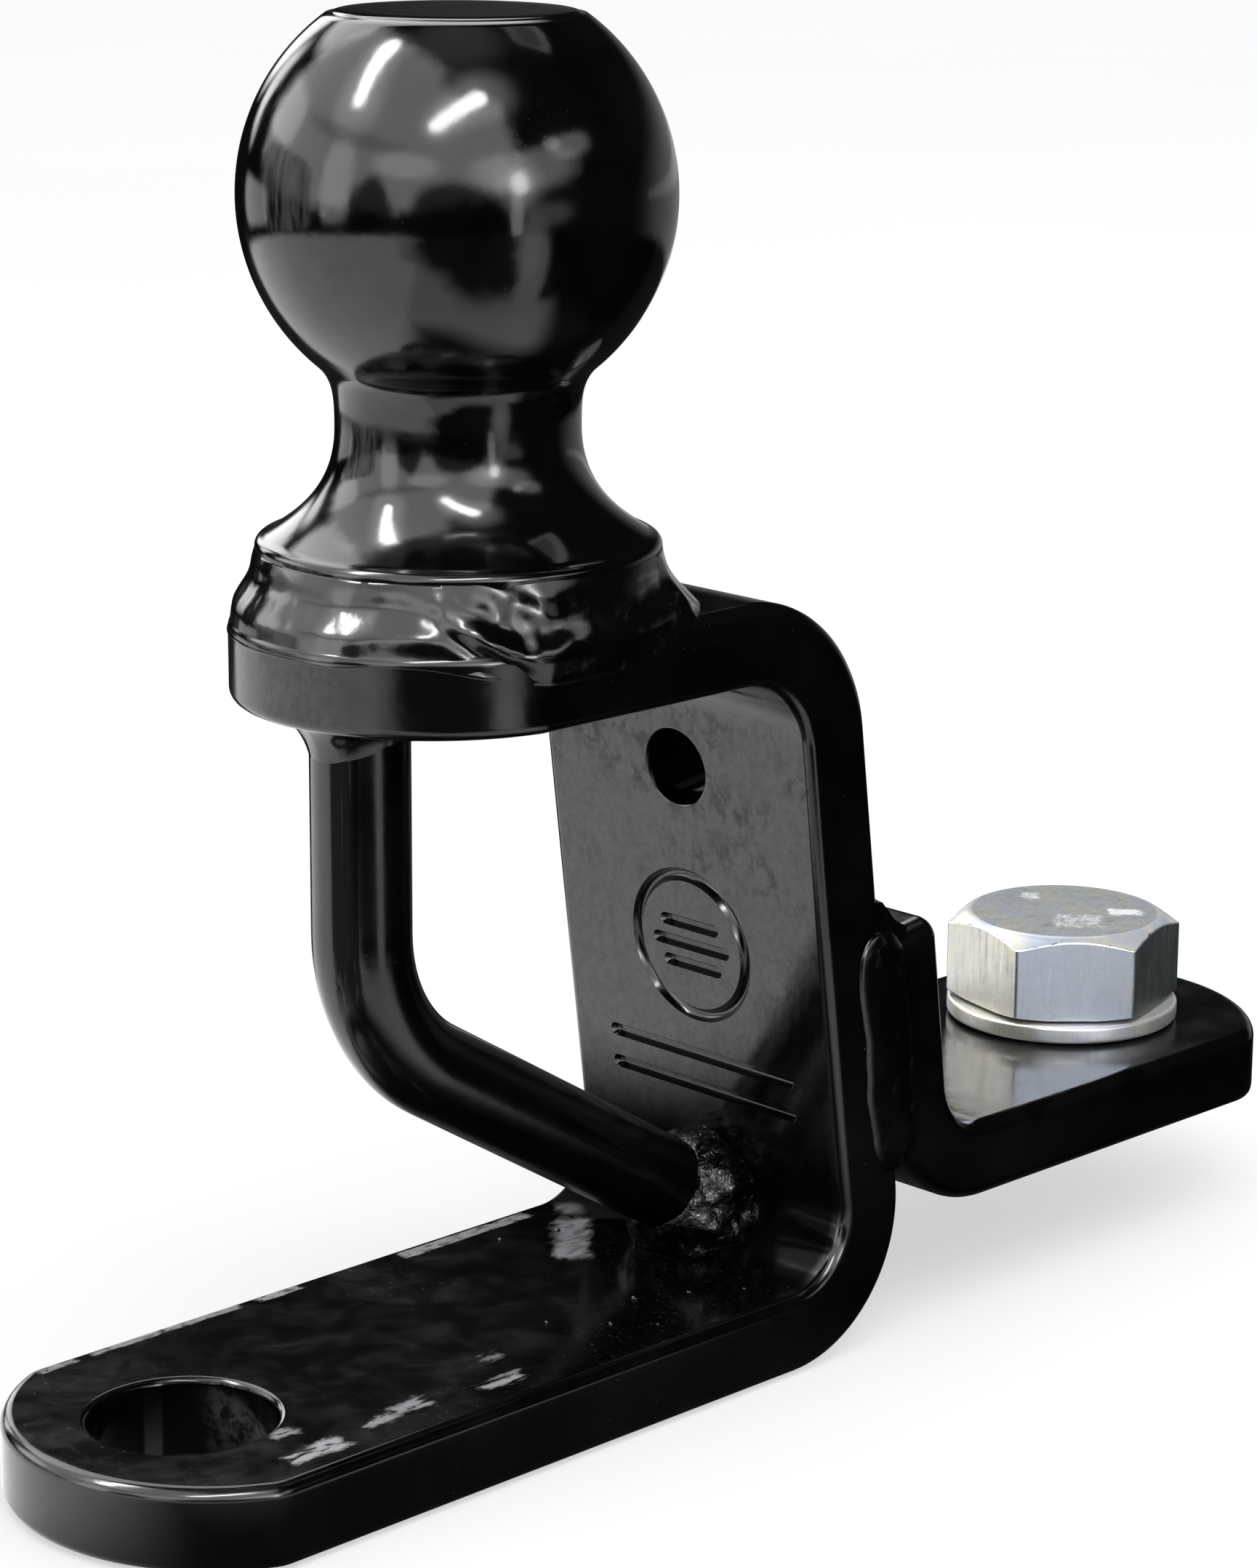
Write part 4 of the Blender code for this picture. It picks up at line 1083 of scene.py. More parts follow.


def black_paint(name, peel, rough, wear=None, dust_and_sheen_tone=0.15, dust_and_sheen_rough=0.34, lumpy=False):
    """Deep black gloss enamel with fine orange peel, faint haze and specks of dust.

    wear(graph, coat) may change the coat's dust and painted sheen, gloss and roughness.
    """
    mat, graph = new_material(name)
    tone = graph.noise(scale=0.09, detail=4.0, rough=0.55)
    base = graph.mix(tone.ramp(0.35, 0.7), grey(0.0008, (1, 1, 1.06)),
                     grey(0.0019, (1, 1, 1.10)))
    haze = graph.noise(scale=0.16, detail=5.0, rough=0.6, twist=0.4)
    speck = graph.noise(scale=2.6, detail=2.0, rough=0.7).ramp(0.71, 0.77)
    speck_zone = graph.noise(scale=0.12, detail=3.0, rough=0.5).ramp(0.48, 0.68)
    coat = SimpleNamespace(dust_and_sheen=speck * (speck_zone * 0.30), gloss=1.0,
                           roughness=haze.ramp(0.3, 0.75, rough * 0.75, rough * 1.5))
    if wear:
        wear(graph, coat)

    fine = graph.noise(scale=1.15, detail=2.0, rough=0.5)
    broad = graph.noise(scale=0.22, detail=2.0, rough=0.5)
    height = fine * 0.35 + broad * 1.6 + coat.dust_and_sheen * 0.6
    if lumpy:
        height = height + graph.noise(scale=0.85, detail=3.0, rough=0.6, twist=0.5) * 5.0
    # the dust layer also carries painted reflections and highlights that a wear function adds, in
    # the same tone
    shader = graph.output(
        "BsdfPrincipled",
        Base_Color=graph.mix(coat.dust_and_sheen, base, grey(dust_and_sheen_tone, (1.0, 0.98, 1.03))),
        Roughness=graph.math("ADD", coat.roughness, coat.dust_and_sheen * dust_and_sheen_rough, clamp=True),
        Normal=graph.output("Bump", Strength=peel * 10, Distance=0.00006, Height=height),
        IOR=1.50,
        Specular_IOR_Level=coat.gloss * 0.56)
    graph.node("OutputMaterial", Surface=shader)
    return mat


def tongue_scuffs_and_sheen(graph, x, y, z, normal_z, low, wander):
    """Scuffs and painted reflections on the tongue's top, and a painted highlight on its far edge;
    low is 1 on the top, wander shifts their edges.
    """
    toothed = graph.noise(scale=1.0, detail=4.0, rough=0.6, stretch=(0.28, 0.62, 0.3))
    toothed = (toothed - 0.5) * 5.5
    strokes = graph.noise(scale=1.0, detail=4.0, rough=0.60, twist=0.5,
                          stretch=(0.30, 0.95, 0.3)).ramp(0.38, 0.56)
    # painted reflections by the near edge
    near_sheen = strongest([
        (x - mid_x + toothed).band(-half_x * 0.8, half_x * 0.8, 1.6)
        * (y - mid_y - wander * 0.6).band(-half_y * 0.55, half_y * 0.55, 1.0) * level
        for mid_x, mid_y, half_x, half_y, level in NEAR_SHEEN_PATCHES]) * strokes

    # a painted highlight along the far rolled edge
    far_fine = graph.noise(scale=1.0, detail=4.0, rough=0.6, twist=0.4,
                           stretch=(0.55, 1.1, 0.3)).ramp(0.36, 0.54, 0.25, 1.0)
    rolled = normal_z.ramp(0.50, 0.72) * z.fall(*TONGUE_FADE)
    far_y = y + wander * 0.16
    far_x = x + wander * 0.5
    far_edge_highlight = strongest([
        far_x.band(x_from, x_to, 1.2) * far_y.band(y_from, y_to, 0.35) * level
        for x_from, x_to, y_from, y_to, level in FAR_EDGE_HIGHLIGHTS]) * rolled * far_fine

    # one longer painted reflection that runs away from the near side, with a faint tail
    across = (x - REFLECTION_X) * 0.724 - (y - REFLECTION_Y) * 0.69
    along = (x - REFLECTION_X) * 0.687 + (y - REFLECTION_Y) * 0.727
    across = across + toothed * 0.60 + wander * 0.45
    painted_reflection = across.band(-1.2, 1.2, 1.5) * (along + wander * 1.2).band(-5.5, 5.5, 2.4)
    tail = across.band(-1.2, 0.9, 1.2) * along.band(9.2, 10.6, 1.8)
    painted_reflection = maximum(painted_reflection, tail * 0.5)
    scuff_and_sheen = maximum(near_sheen, painted_reflection * strokes.ramp(0.0, 1.0, 0.55, 1.0))

    grain = graph.noise(scale=2.2, detail=3.0, rough=0.7,
                        stretch=(1.0, 0.30, 1.0)).ramp(0.60, 0.74)
    grain_zone = graph.noise(scale=0.07, detail=3.0, rough=0.5).ramp(0.40, 0.62)
    scuff_and_sheen = maximum(scuff_and_sheen, grain * grain_zone * 0.14) * low
    return maximum(scuff_and_sheen, far_edge_highlight)


def upright_clouds(graph, z):
    """Cloudy patches for the upright's -X face."""
    cloud = graph.noise(scale=1.0, detail=6.0, rough=0.70, twist=0.6, stretch=(0.6, 0.50, 0.36))
    zone = graph.noise(scale=0.075, detail=2.0, rough=0.5)
    upper = z.band(58.0, 80.0, 6.0) * zone.ramp(0.36, 0.52)
    patchy = cloud.ramp(0.44, 0.62) * (upper * 0.72 + 0.22)
    fleck = graph.noise(scale=1.25, detail=3.0, rough=0.6).ramp(0.36, 0.64) * 0.26
    return patchy * 0.80 + (fleck + 0.04)


def bore_shade(graph, x, y, z, normal_x, wander):
    """How much the two bores hold back the light."""
    hole_x = x - TONGUE_HOLE_X
    bore = distance(hole_x, y)
    in_bore = bore.fall(TONGUE_HOLE_R + 0.15, TONGUE_HOLE_R + 0.4) * z.fall(9.0, 9.4)
    across = hole_x * 0.712 - y * 0.702  # towards the camera's right
    stripe = (across + wander * 0.08).band(-5.0, -3.6, 0.5)
    blotch = graph.noise(scale=0.8, detail=4.0, rough=0.6, twist=0.5)
    mottle = across.ramp(0.4, 3.2) * blotch.ramp(0.36, 0.62)
    dull = 0.97 - maximum(stripe, mottle * 0.8) * 0.80
    hole_z = z - UPRIGHT_HOLE_Z
    small = distance(hole_z, y)
    in_small = small.fall(UPRIGHT_HOLE_R + 2.2, UPRIGHT_HOLE_R + 2.6)
    return maximum(in_bore * dull, in_small * normal_x.ramp(-0.9, -0.6)) * 0.93


# wear on the frame, with painted reflections and a painted highlight on the tongue
def frame_wear_and_painted_light(graph, coat):
    x, y, z = graph.split(graph.place)
    normal_x, _, normal_z = graph.normal_parts()
    low = normal_z.ramp(0.93, 0.99) * z.fall(*TONGUE_FADE)
    wander = (graph.noise(scale=0.35, detail=4.0, rough=0.6) - 0.5) * 5.0
    # the tongue's scuffs, with painted reflections and a painted far-edge highlight
    coat.dust_and_sheen = maximum(coat.dust_and_sheen, tongue_scuffs_and_sheen(graph, x, y, z, normal_z, low, wander))

    # the upright's -X face is cloudy, and the tongue's top is rubbed duller
    inner = normal_x.fall(-0.97, -0.90) * z.ramp(18.0, 24.0)
    patchy = upright_clouds(graph, z)
    gloss = 1.0 + inner * 0.30 - inner * patchy * 0.72
    gloss = gloss * low.ramp(0.0, 1.0, 1.0, 0.55)
    # the bend's hollow reflects less and shows darker
    dull_patch = distance(x - 34.0, z - 13.0)
    dull_patch = (dull_patch + wander * 0.8).fall(9.0, 21.0) * y.ramp(-21.2, -19.5)
    gloss = gloss * (1.0 - dull_patch * 0.90)
    # the far side of the bend's hollow, behind the rod
    hollow = x.band(33.5, 50.0, 1.5) * y.ramp(1.0, 6.0) * z.fall(16.0, 26.0)
    gloss = gloss * (1.0 - hollow * 0.92)
    coat.gloss = gloss * (1.0 - bore_shade(graph, x, y, z, normal_x, wander))
    coat.roughness = coat.roughness + low * 0.02 + inner * patchy * 0.10


def bracket_wear(graph, coat):
    """A film of dust on top of the foot, fading across it towards +X and the far side."""
    x, y, _ = graph.split(graph.place)
    normal_z = graph.normal_parts()[2]
    top = normal_z.ramp(0.93, 0.99) * x.ramp(66, 74)
    film = graph.noise(scale=0.22, detail=5.0, rough=0.6, twist=0.6)
    fade = (x - 85.0 + y * 0.9).ramp(-14.0, 12.0, 1.0, 0.12)
    coat.dust_and_sheen = maximum(coat.dust_and_sheen, top * film.ramp(0.30, 0.72, 0.35, 0.95) * fade * 0.28)


def weld_wear(graph, coat):
    dull_patch = graph.noise(scale=0.55, detail=5.0, rough=0.65, twist=0.5).ramp(0.58, 0.74)
    coat.dust_and_sheen = maximum(coat.dust_and_sheen, dull_patch * 0.05)


def rod_wear(graph, coat):
    """A duller run down the straight part, with thin drawn streaks in it."""
    normal_x, normal_y, normal_z = graph.normal_parts()
    side = normal_x * 0.712 - normal_y * 0.702  # towards the camera's right
    drawn = graph.noise(scale=1.0, detail=3.0, rough=0.6, stretch=(1.3, 1.3, 0.025))
    side = side + (drawn - 0.5) * 0.16
    run = side.band(-0.50, -0.02, 0.07) * abs(normal_z).fall(0.12, 0.45)
    coat.gloss = 1.0 - run * drawn.ramp(0.34, 0.46, 0.55, 1.0) * 0.88


def coarse_wear(graph, coat):
    blotch = graph.noise(scale=0.7, detail=4.0, rough=0.6, twist=0.8)
    coat.gloss = blotch.ramp(0.38, 0.62, 0.22, 1.05)


# ---------------------------------------------------------------- zinc plate

# painted glints on the bolt's crown, laid as bright scuffs: centre x, y, half sizes across and
# along the view, strength
GLINTS = [(BOLT_X + 2.2, 7.4, 0.7, 1.1, 0.8), (BOLT_X + 5.0, -6.0, 1.7, 1.0, 1.0),
          (BOLT_X - 2.5, -4.5, 2.8, 2.4, 0.58)]


# painted glints on the crown
def crown_glints(graph):
    x, y, _ = graph.split(graph.place)
    ragged = (graph.noise(scale=0.8, detail=4.0, rough=0.65, twist=0.6) - 0.5) * 3.2
    parts = []
    for mid_x, mid_y, half_across, half_along, level in GLINTS:
        across = (x - mid_x) * 0.71 + (y - mid_y) * -0.70
        along = (x - mid_x) * 0.70 + (y - mid_y) * 0.71
        parts.append((across + ragged).band(-half_across, half_across, 0.7)
                     * (along - ragged).band(-half_along, half_along, 0.8) * level)
    bright = strongest(parts)
    dots = graph.noise(scale=1.5, detail=4.0, rough=0.7).ramp(0.42, 0.56)
    return bright * maximum(dots, bright.ramp(0.6, 0.95))


def zinc(name, side_metal, top_metal, glints=False, veil=0.0):
    """Bright zinc plate: pale grey with a blue to cream cast, drawn lines and smudges, and painted
    light and shade by which way each face turns.

    side_metal and top_metal are the metallic values, veil is how far a pale cream covers it.
    """
    mat, graph = new_material(name)
    normal_x, normal_y, normal_z = graph.normal_parts()
    facing_up = normal_z.ramp(0.55, 0.95)
    flat_up = normal_z.ramp(0.985, 0.999)

    # painted light and shade by facing: creamier towards -X and +Y, bluer towards the camera,
    # painted shade where it faces the near side
    cloud = graph.noise(scale=0.13, detail=5.0, rough=0.6, twist=0.7)
    painted_cream_light = (normal_y - normal_x).ramp(0.3, 1.1)
    painted_blue_sheen = (normal_x * -0.69 + normal_y * -0.73).ramp(0.90, 0.99)
    shade = (normal_x * 0.30 + normal_y * -0.95).ramp(0.90, 0.98)
    # a dark, greenish mottle, strongest on the crown
    smear = graph.noise(scale=1.0, detail=7.0, rough=0.74, twist=0.9,
                        stretch=(0.26, 0.40, 0.4)).ramp(0.46, 0.66)
    dots = graph.noise(scale=1.1, detail=4.0, rough=0.7).ramp(0.44, 0.62)
    smear = smear * (0.45 + dots * 0.55)
    lines = graph.noise(scale=1.0, detail=4.0, rough=0.7, stretch=(1.7, 1.7, 0.10))
    wear = lines.ramp(0.52, 0.70) * (1.0 - facing_up)

    # coverage and tone of each layer, from the lowest up
    layers = [(painted_cream_light * 0.75, grey(0.76, (1.0, 0.985, 0.85))),
              (painted_blue_sheen * 0.8, grey(0.76, (0.82, 0.91, 1.06))),
              (shade * 0.85, grey(0.17, (0.84, 1.0, 0.98))),
              # flat tops painted darker, as shade
              (flat_up * 0.60, grey(0.29, (0.95, 1.0, 0.96))),
              (smear * (flat_up * 0.72 + 0.10), grey(0.16, (0.88, 1.0, 0.90)))]
    if glints:
        layers.append((crown_glints(graph) * flat_up, grey(0.97, (0.97, 1.0, 1.0))))
    layers.append((wear * 0.35, grey(0.36, (0.9, 0.96, 1.0))))
    if veil:
        layers.append((veil, grey(0.62, (1.0, 0.985, 0.90))))
    colour = graph.mix(cloud.ramp(0.40, 0.64), grey(0.56, (0.80, 0.90, 1.06)),
                       grey(0.60, (1.0, 0.98, 0.86)))
    for cover, tone in layers:
        colour = graph.mix(cover, colour, tone)

    fine = graph.noise(scale=2.4, detail=4.0, rough=0.65)
    height = lines * 0.5 * (1.0 - facing_up) + fine * 0.5 + cloud * 0.8
    shader = graph.output(
        "BsdfPrincipled",
        Base_Color=colour,
        Roughness=lines.ramp(0.3, 0.7, 0.26, 0.42) + smear * 0.14,
        Metallic=facing_up.ramp(0.0, 1.0, side_metal, top_metal),
        Normal=graph.output("Bump", Strength=0.4, Distance=0.00012, Height=height))
    graph.node("OutputMaterial", Surface=shader)
    return mat


# ---------------------------------------------------------------- assembly

def build_product():
    frame = black_paint("black_enamel_frame", peel=0.035, rough=0.13, wear=frame_wear_and_painted_light,
                        dust_and_sheen_tone=0.33)
    ball = black_paint("black_enamel_ball", peel=0.018, rough=0.10)
    rod = black_paint("black_enamel_rod", peel=0.040, rough=0.15, wear=rod_wear)
    bracket = black_paint("black_enamel_bracket", peel=0.035, rough=0.15, wear=bracket_wear,
                          dust_and_sheen_rough=0.05)
    weld = black_paint("black_enamel_weld", peel=0.05, rough=0.13, wear=weld_wear)
    coarse = black_paint("black_enamel_coarse_weld", peel=0.10, rough=0.12, wear=coarse_wear,
                         lumpy=True)
    bolt = zinc("zinc_bright_bolt", side_metal=0.88, top_metal=0.30, glints=True)
    washer = zinc("zinc_bright_washer", side_metal=0.60, top_metal=0.40, veil=0.45)

    # builder, object name, CAD node, material, sharp angle in degrees, even normals
    painted = [
        (build_hitch_frame, "frame_bent_bar", "hitch_frame", frame, 35, True),
        (build_ball, "ball_turned", "tow_ball", ball, 40, False),
        (build_ball_weld, "ball_weld_bead", "ball_weld", weld, 75, False),
        (build_rod, "brace_rod_bent", "brace_rod", rod, 60, False),
        (build_rod_upper_weld, "rod_upper_weld_bead", "rod_upper_weld", weld, 75, False),
        (build_rod_lower_weld, "rod_lower_weld_bead", "rod_lower_weld", coarse, 75, False),
        (build_bracket, "bracket_bent_bar", "mount_bracket", bracket, 35, True),
        (build_top_weld, "bracket_top_bead", "bracket_weld_top", weld, 75, False),
        (build_near_bead, "bracket_near_bead", "bracket_weld_near", weld, 75, False),
        (build_far_bead, "bracket_far_bead", "bracket_weld_far", weld, 75, False),
        (build_bottom_bead, "bracket_bottom_bead", "bracket_weld_bottom", weld, 75, False),
        (build_spatter, "weld_spatter", None, weld, 75, False),
    ]
    for build, name, node, material, sharp, even in painted:
        slot = "black_weld" if material in (weld, coarse) else "black_paint"
        finish_piece(build(), name, "weldment", node, material, sharp, even)
    finish_piece(build_washer(), "spring_washer", "washer", "lock_washer",
                 washer, sharp=40)
    finish_piece(build_bolt_head(), "bolt_hex_head", "bolt", "mounting_bolt",
                 bolt, sharp=28, even=True)
    finish_piece(build_thread(), "bolt_threaded_shank", "bolt", "mounting_bolt",
                 bolt, sharp=30)


# ---------------------------------------------------------------- floor

def floor_glow(graph):
    """What reflections see of the floor: its glow, with painted shadow near the object and towards
    the camera, and how far it has faded to nothing.
    """
    x, y, _ = graph.split(graph.place)
    wobble = graph.noise(scale=0.011, detail=4.0, rough=0.55, twist=0.3) - 0.5
    far = distance(x, y)
    angle = azimuth_of(x, y)
    ragged = angle + wobble * 22.0
    ragged_far = far + wobble * 110.0
    # painted contact shadow: darker close to the object, except on its -X +Y side
    clamped = graph.math("MINIMUM", maximum(x, -35.0), 100.0)
    gap = distance(x - clamped, y) - 24.0
    diagonal = x * 0.57 - y * 0.82
    near = maximum(gap.ramp(10.0, 50.0, 0.03, 1.0), diagonal.ramp(-50.0, -12.0, 1.4, 0.0))
    # dark on the +X side, and painted shadow beside the bracket
    right_side = angle.band(-81.0, 82.0, 5.0) * ragged_far.ramp(118.0, 172.0)
    right_side = 1.0 - right_side * 0.985
    beside = x.ramp(22.0, 66.0) * y.fall(-30.0, -20.0)
    right_side = right_side * (1.0 - beside * 0.97)
    # a painted shadow wedge towards the camera, and a faint lane towards -Y
    skew = ragged_far.ramp(120.0, 330.0, -20.0, 4.0)
    dark = (ragged + skew).ramp(-163.0, -143.0) * ragged.fall(-106.0, -97.0)
    dark = 1.0 - dark * ragged_far.ramp(90.0, 172.0) * 0.97
    lane = angle.band(-96.0, -91.5, 3.5) * far.ramp(150.0, 260.0)
    glow = near * right_side * (dark * 1.16) + lane * 0.3
    return glow * (1.0 + wobble * 0.35), ragged_far.ramp(500.0, 610.0)


def floor_material():
    mat, graph = new_material("pale_floor")
    tone = graph.noise(scale=0.004, detail=3.0, rough=0.5)
    matt = graph.output("BsdfPrincipled", Roughness=0.9, Specular_IOR_Level=0.0,
                        Base_Color=graph.mix(tone.ramp(0.3, 0.7), grey(0.90), grey(0.92)))
    glow, open_air = floor_glow(graph)
    camera_ray, glossy_ray = graph.ray_kinds()
    clear = graph.output("BsdfTransparent")
    # in reflections the floor glows as a stand-in for the lit floor, with painted shadow near the
    # object
    mirror = graph.mix_shader(
        open_air, graph.output("Emission", Color=(1.0, 0.985, 1.0, 1), Strength=glow), clear)
    plain = graph.output("Emission", Color=(1.0, 1.0, 1.0, 1), Strength=1.0)
    pale = graph.mix_shader(camera_ray * 0.55, matt, plain)
    final = graph.mix_shader(glossy_ray, pale, mirror)
    # seen from below the floor isn't there
    behind = graph.output("NewGeometry", "Backfacing")
    graph.node("OutputMaterial", Surface=graph.mix_shader(behind * camera_ray, final, clear))
    return mat


def build_floor():
    half, z = 6.0, -0.0003  # metres
    mesh = bpy.data.meshes.new("floor")
    mesh.from_pydata([(-half, -half, z), (half, -half, z), (half, half, z), (-half, half, z)],
                     [], [(0, 1, 2, 3)])
    floor = new_object("floor", mesh)
    mesh.materials.append(floor_material())


# ---------------------------------------------------------------- world

# Soft patches of the room, in the order they are laid. Columns: azimuth, elevation, half width
# and half height in degrees, softness, raggedness, power (2 is an oval, more is boxier), amount
# (above 0 adds light, below 0 darkens what is there by that share).
WALL_PATCHES = [
    (177.0, 36.0, 82.0, 39.0, 0.16, 0.16, 3.0, 2.35),  # wall and ceiling behind the camera
    (-110.0, 74.0, 40.0, 22.0, 0.5, 0.1, 2.0, -0.8),
    (165.0, 28.0, 34.0, 3.5, 0.9, 0.2, 2.0, -0.35),
    (113.0, 21.0, 13.0, 9.0, 0.5, 0.14, 3.0, 1.9),
    (162.0, 8.0, 9.0, 18.0, 0.5, 0.20, 3.0, 1.7),
    (-160.0, 20.0, 18.0, 6.0, 0.6, 0.2, 2.0, 1.5),
    (-96.0, 17.0, 28.0, 9.5, 0.6, 0.18, 2.4, 1.8),
    (-66.0, 24.0, 12.0, 5.0, 0.8, 0.12, 2.0, 1.7),
    (-102.0, -5.0, 3.2, 12.0, 0.7, 0.12, 2.0, 2.4),
    (-93.0, -22.0, 9.0, 16.0, 0.7, 0.12, 2.0, 1.1),
    (-84.0, -4.0, 12.0, 5.0, 0.9, 0.2, 2.0, 0.7),
]
SLATS = (126.0, 0.0, 20.0, 13.0, 0.2, 0.04, 5.0)
SIDE_PATCHES = [
    (100.0, -6.0, 13.0, 5.0, 0.4, 0.05, 4.0, 1.2),
    (88.0, 30.0, 9.0, 24.0, 0.7, 0.2, 2.0, -0.8),
    (-178.0, -4.0, 12.0, 17.0, 0.35, 0.26, 2.0, -0.90),  # dark patches near the horizon
    (-134.0, -6.0, 23.0, 19.0, 0.35, 0.24, 2.0, -0.92),
    (174.0, -14.0, 22.0, 5.0, 0.6, 0.30, 2.0, -0.85),
    (81.0, 15.0, 5.0, 8.5, 0.9, 0.10, 2.0, 3.6),  # bright edge towards +Y
    (85.0, 6.0, 3.0, 3.0, 1.2, 0.0, 2.0, 1.6),
    (66.0, 17.0, 8.5, 12.0, 0.5, 0.12, 2.0, 3.6),
    (67.0, 45.0, 33.0, 15.0, 0.35, 0.08, 3.0, 3.6),  # overhead soft box behind the object
]
WINDOW = (-8.0, 61.0, 17.0, 7.5, 0.14, 0.03, 5.0)
WINDOW_MIDDLE = (-8.0, 61.0, 12.0, 4.0, 0.4, 0.05, 5.0)
LOW_GLOW = (14.0, -6.0, 30.0, 15.0, 1.1, 0.0, 2.0, 0.32)
LOW_SPOT = (42.0, -14.0, 9.0, 5.0, 0.9, 0.0, 2.0, 1.4)
LAMPS = [
    (-99.9, 11.2, 4.4, 5.6, 0.9, 0.0, 2.0, 11.0),
    (-99.9, 11.2, 10.0, 11.0, 1.3, 0.0, 2.0, 2.4),  # its bloom
    (-76.9, 27.0, 5.0, 2.6, 1.0, 0.0, 2.0, 3.0),
]
# Straight tubes between two (azimuth, elevation) directions: start, end, half width, softness,
# taper along the length, brightness. Each soft box is followed by its bloom.
LOW_TUBE = ((-15.0, -3.0), (40.0, -3.0), 0.012, 0.03, 1.0, 0.30)
SOFT_BOXES = [
    ((123.7, 64.2), (155.5, 43.3), 0.030, 0.055, -0.5, 26.0),
    ((123.7, 64.2), (155.5, 43.3), 0.075, 0.17, 1.0, 1.7),
    ((-145.7, 41.1), (-115.7, 55.3), 0.034, 0.055, 0.3, 24.0),
    ((-145.7, 41.1), (-115.7, 55.3), 0.085, 0.17, 1.0, 1.7),
]


def toward(azimuth, elevation):
    turn, lift = math.radians(azimuth), math.radians(elevation)
    return Vector((math.cos(lift) * math.cos(turn), math.cos(lift) * math.sin(turn),
                   math.sin(lift)))


class Room:
    """The room that reflections see, built up layer by layer in total."""

    def __init__(self, graph):
        self.graph = graph
        self.total = None
        x, y, z = graph.split(graph.place)
        self.azimuth = azimuth_of(x, y)
        self.elevation = graph.math("ARCSINE", z) * (180 / math.pi)
        self.wobble = graph.noise(scale=4.0, detail=5.0, rough=0.6, twist=0.4) - 0.5
        self.fine_wobble = graph.noise(scale=9.0, detail=4.0, rough=0.6, twist=0.3) - 0.5

    def add(self, value):
        self.total = self.total + value if self.total else value

    def darken(self, value, share):
        self.total = self.total * (1.0 - value * share)

    def blob(self, azimuth, elevation, half_width, half_height, soft, ragged, power):
        across = self.graph.math("WRAP", self.azimuth - azimuth, 180.0, -180.0)
        across = abs(across / half_width)
        upward = abs((self.elevation - elevation) / half_height)
        reach = (across ** power + upward ** power) ** (1.0 / power)
        if ragged:
            reach = reach + self.wobble * (ragged * 2) + self.fine_wobble * ragged
        return reach.fall(1.0 - soft / 2, 1.0 + soft / 2)

    def patch(self, *row):
        value, amount = self.blob(*row[:-1]), row[-1]
        if amount > 0:
            self.add(value * amount)
        else:
            self.darken(value, -amount)

    def dot(self, vector):
        return self.graph.output("VectorMath", "Value", {"operation": "DOT_PRODUCT"},
                                 self.graph.place, vector)

    def tube(self, start, end, half_width, soft, taper, brightness):
        first, last = toward(*start), toward(*end)
        centre = (first + last).normalized()
        run = (last - first).normalized()
        half = (last - first).length / 2
        front = self.dot(centre).ramp(0.0, 0.1)
        along = self.dot(run)
        wide = half_width + along * (taper * half_width / half * 0.5)
        beyond = maximum(abs(along) - half, 0.0)
        side = abs(self.dot(centre.cross(run)))
        reach = distance(beyond, side) - wide
        self.add(reach.fall(0.0, soft) * front * brightness)


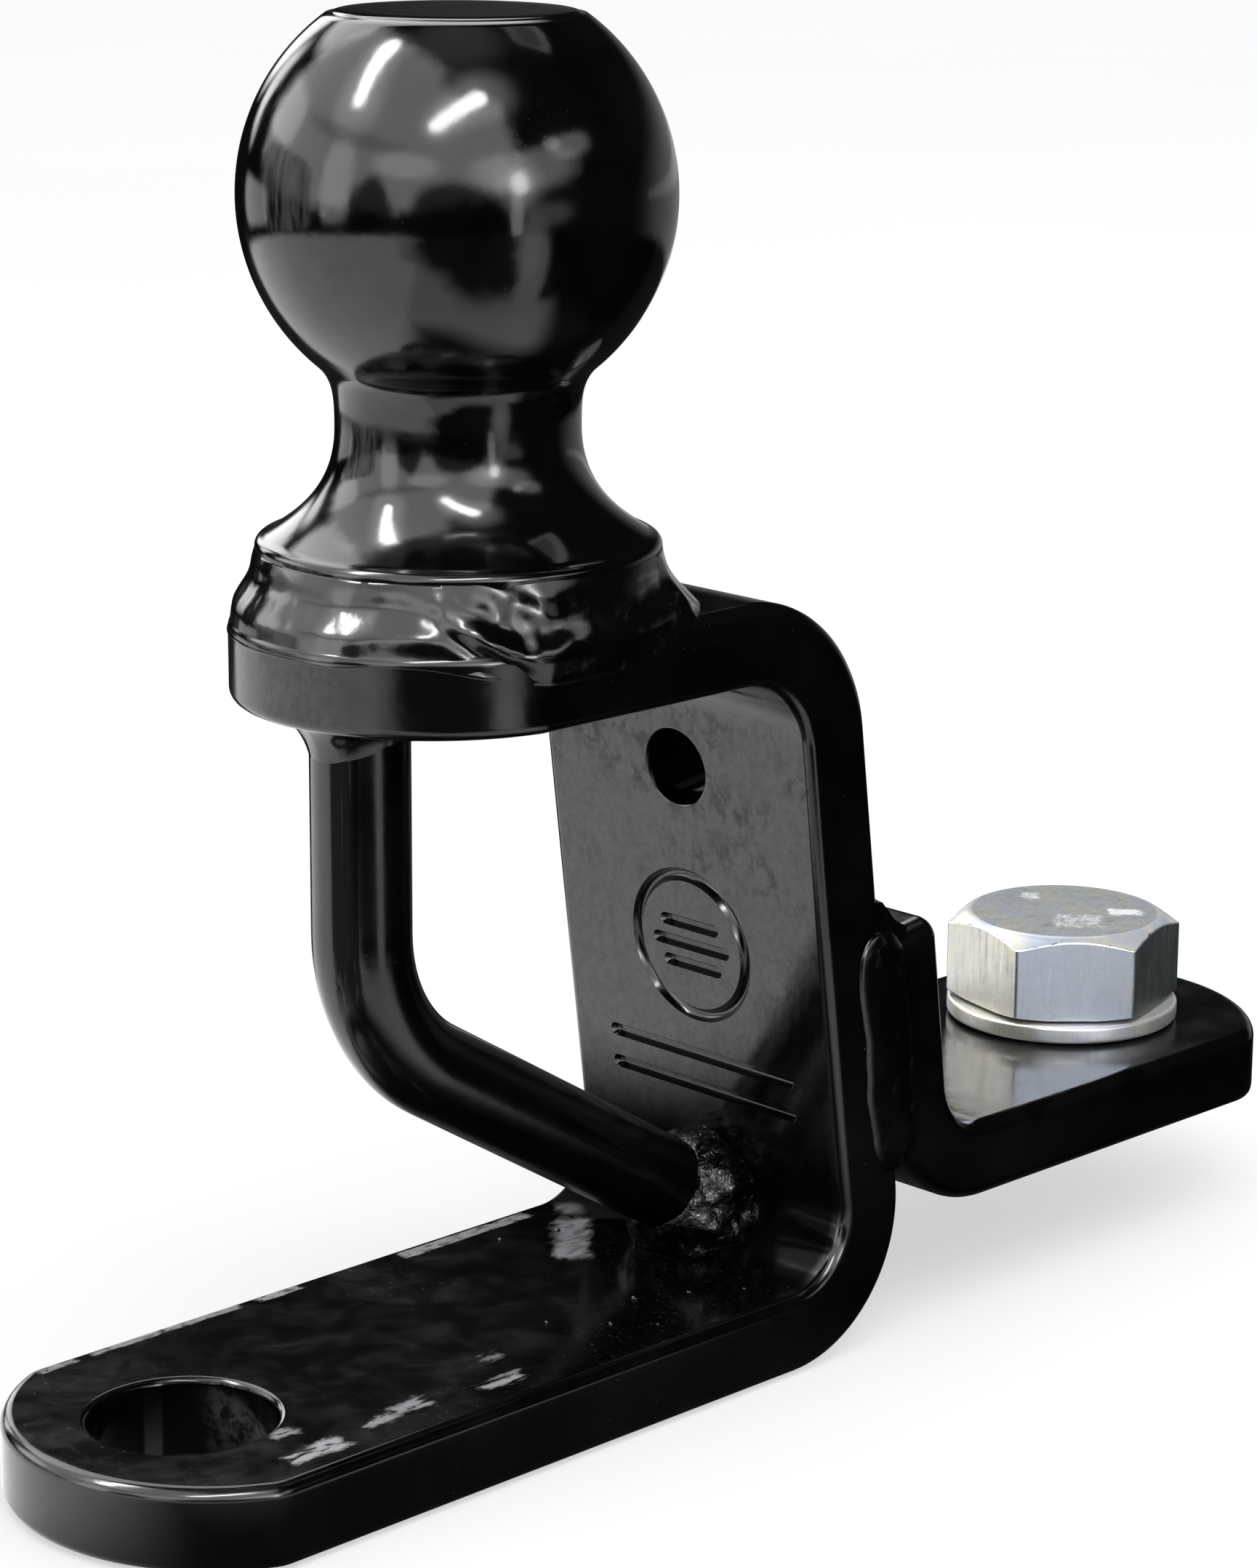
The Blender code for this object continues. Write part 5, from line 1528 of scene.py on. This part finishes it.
def room_light(graph):
    room = Room(graph)
    for row in WALL_PATCHES:
        room.patch(*row)
    # grey slats low towards -X +Y
    slats = graph.noise(scale=1.0, detail=1.0, rough=0.4, stretch=(26.0, 26.0, 1.5))
    zone = room.blob(*SLATS)
    room.darken(zone, 0.7)
    room.add(zone * slats.ramp(0.40, 0.60) * 0.75)
    for row in SIDE_PATCHES:
        room.patch(*row)
    # a faint window high towards +X, darker in its middle
    window = room.blob(*WINDOW)
    room.add(window * 0.75)
    room.darken(window * room.blob(*WINDOW_MIDDLE), 0.5)
    # faint light low towards +X
    room.patch(*LOW_GLOW)
    room.tube(*LOW_TUBE)
    room.patch(*LOW_SPOT)
    # the zenith, and a trace of light everywhere
    room.add(room.elevation.ramp(66.0, 82.0) * 0.40)
    room.add(graph.math("ADD", 0.006, 0.0))
    for row in SOFT_BOXES:
        room.tube(*row)
    for row in LAMPS:
        room.patch(*row)
    return room.total


def build_world():
    """A studio: white to the camera, even as fill, a dim room with soft boxes in reflections."""
    world = bpy.data.worlds.new("studio")
    SCENE.world = world
    world.use_nodes = True
    graph = Graph(world.node_tree)
    graph.place = graph.output("TexCoord", "Generated")
    room = graph.output("Background", Color=(1.0, 0.985, 1.0, 1), Strength=room_light(graph))
    fill = graph.output("Background", Color=(1, 1, 1, 1), Strength=0.95)
    seen = graph.output("Background", Color=(1, 1, 1, 1), Strength=1.0)
    camera_ray, glossy_ray = graph.ray_kinds()
    lit = graph.mix_shader(glossy_ray, fill, room)
    graph.node("OutputWorld", Surface=graph.mix_shader(camera_ray, lit, seen))


# ---------------------------------------------------------------- lights and camera

LIGHT_AIM = Vector((0.0, 0.0, 0.07))  # metres


def soft_light(name, centre, size, power):
    """A square area light, in metres and watts, that neither camera nor reflections see."""
    data = bpy.data.lights.new(name, "AREA")
    data.shape = "RECTANGLE"
    data.size = size
    data.size_y = size
    data.energy = power
    obj = new_object(name, data)
    obj.location = centre
    obj.rotation_mode = "QUATERNION"
    obj.rotation_quaternion = (LIGHT_AIM - Vector(centre)).to_track_quat("-Z", "Y")
    obj.visible_camera = False
    obj.visible_glossy = False


def build_camera():
    data = bpy.data.cameras.new("camera")
    camera = new_object("camera", data)
    right = Vector((0.71226, -0.70189, 0.00567))
    up = Vector((0.17219, 0.18256, 0.96800))
    back = Vector((-0.68046, -0.68849, 0.25089))
    pose = Matrix((right, up, back)).transposed().to_4x4()
    pose.translation = Vector((-314.40, -344.72, 193.66)) * UNIT
    camera.matrix_world = pose
    data.lens = 99.72
    data.sensor_width = 36.0
    data.clip_start = 0.01
    data.clip_end = 50.0
    SCENE.camera = camera
    SCENE.view_settings.view_transform = "Standard"
    SCENE.view_settings.look = "None"


build_product()
build_floor()
build_world()
soft_light("key_softbox", centre=(-0.45, -0.55, 1.25), size=1.1, power=7.0)
soft_light("side_softbox", centre=(0.9, -0.5, 0.9), size=1.0, power=3.0)
build_camera()
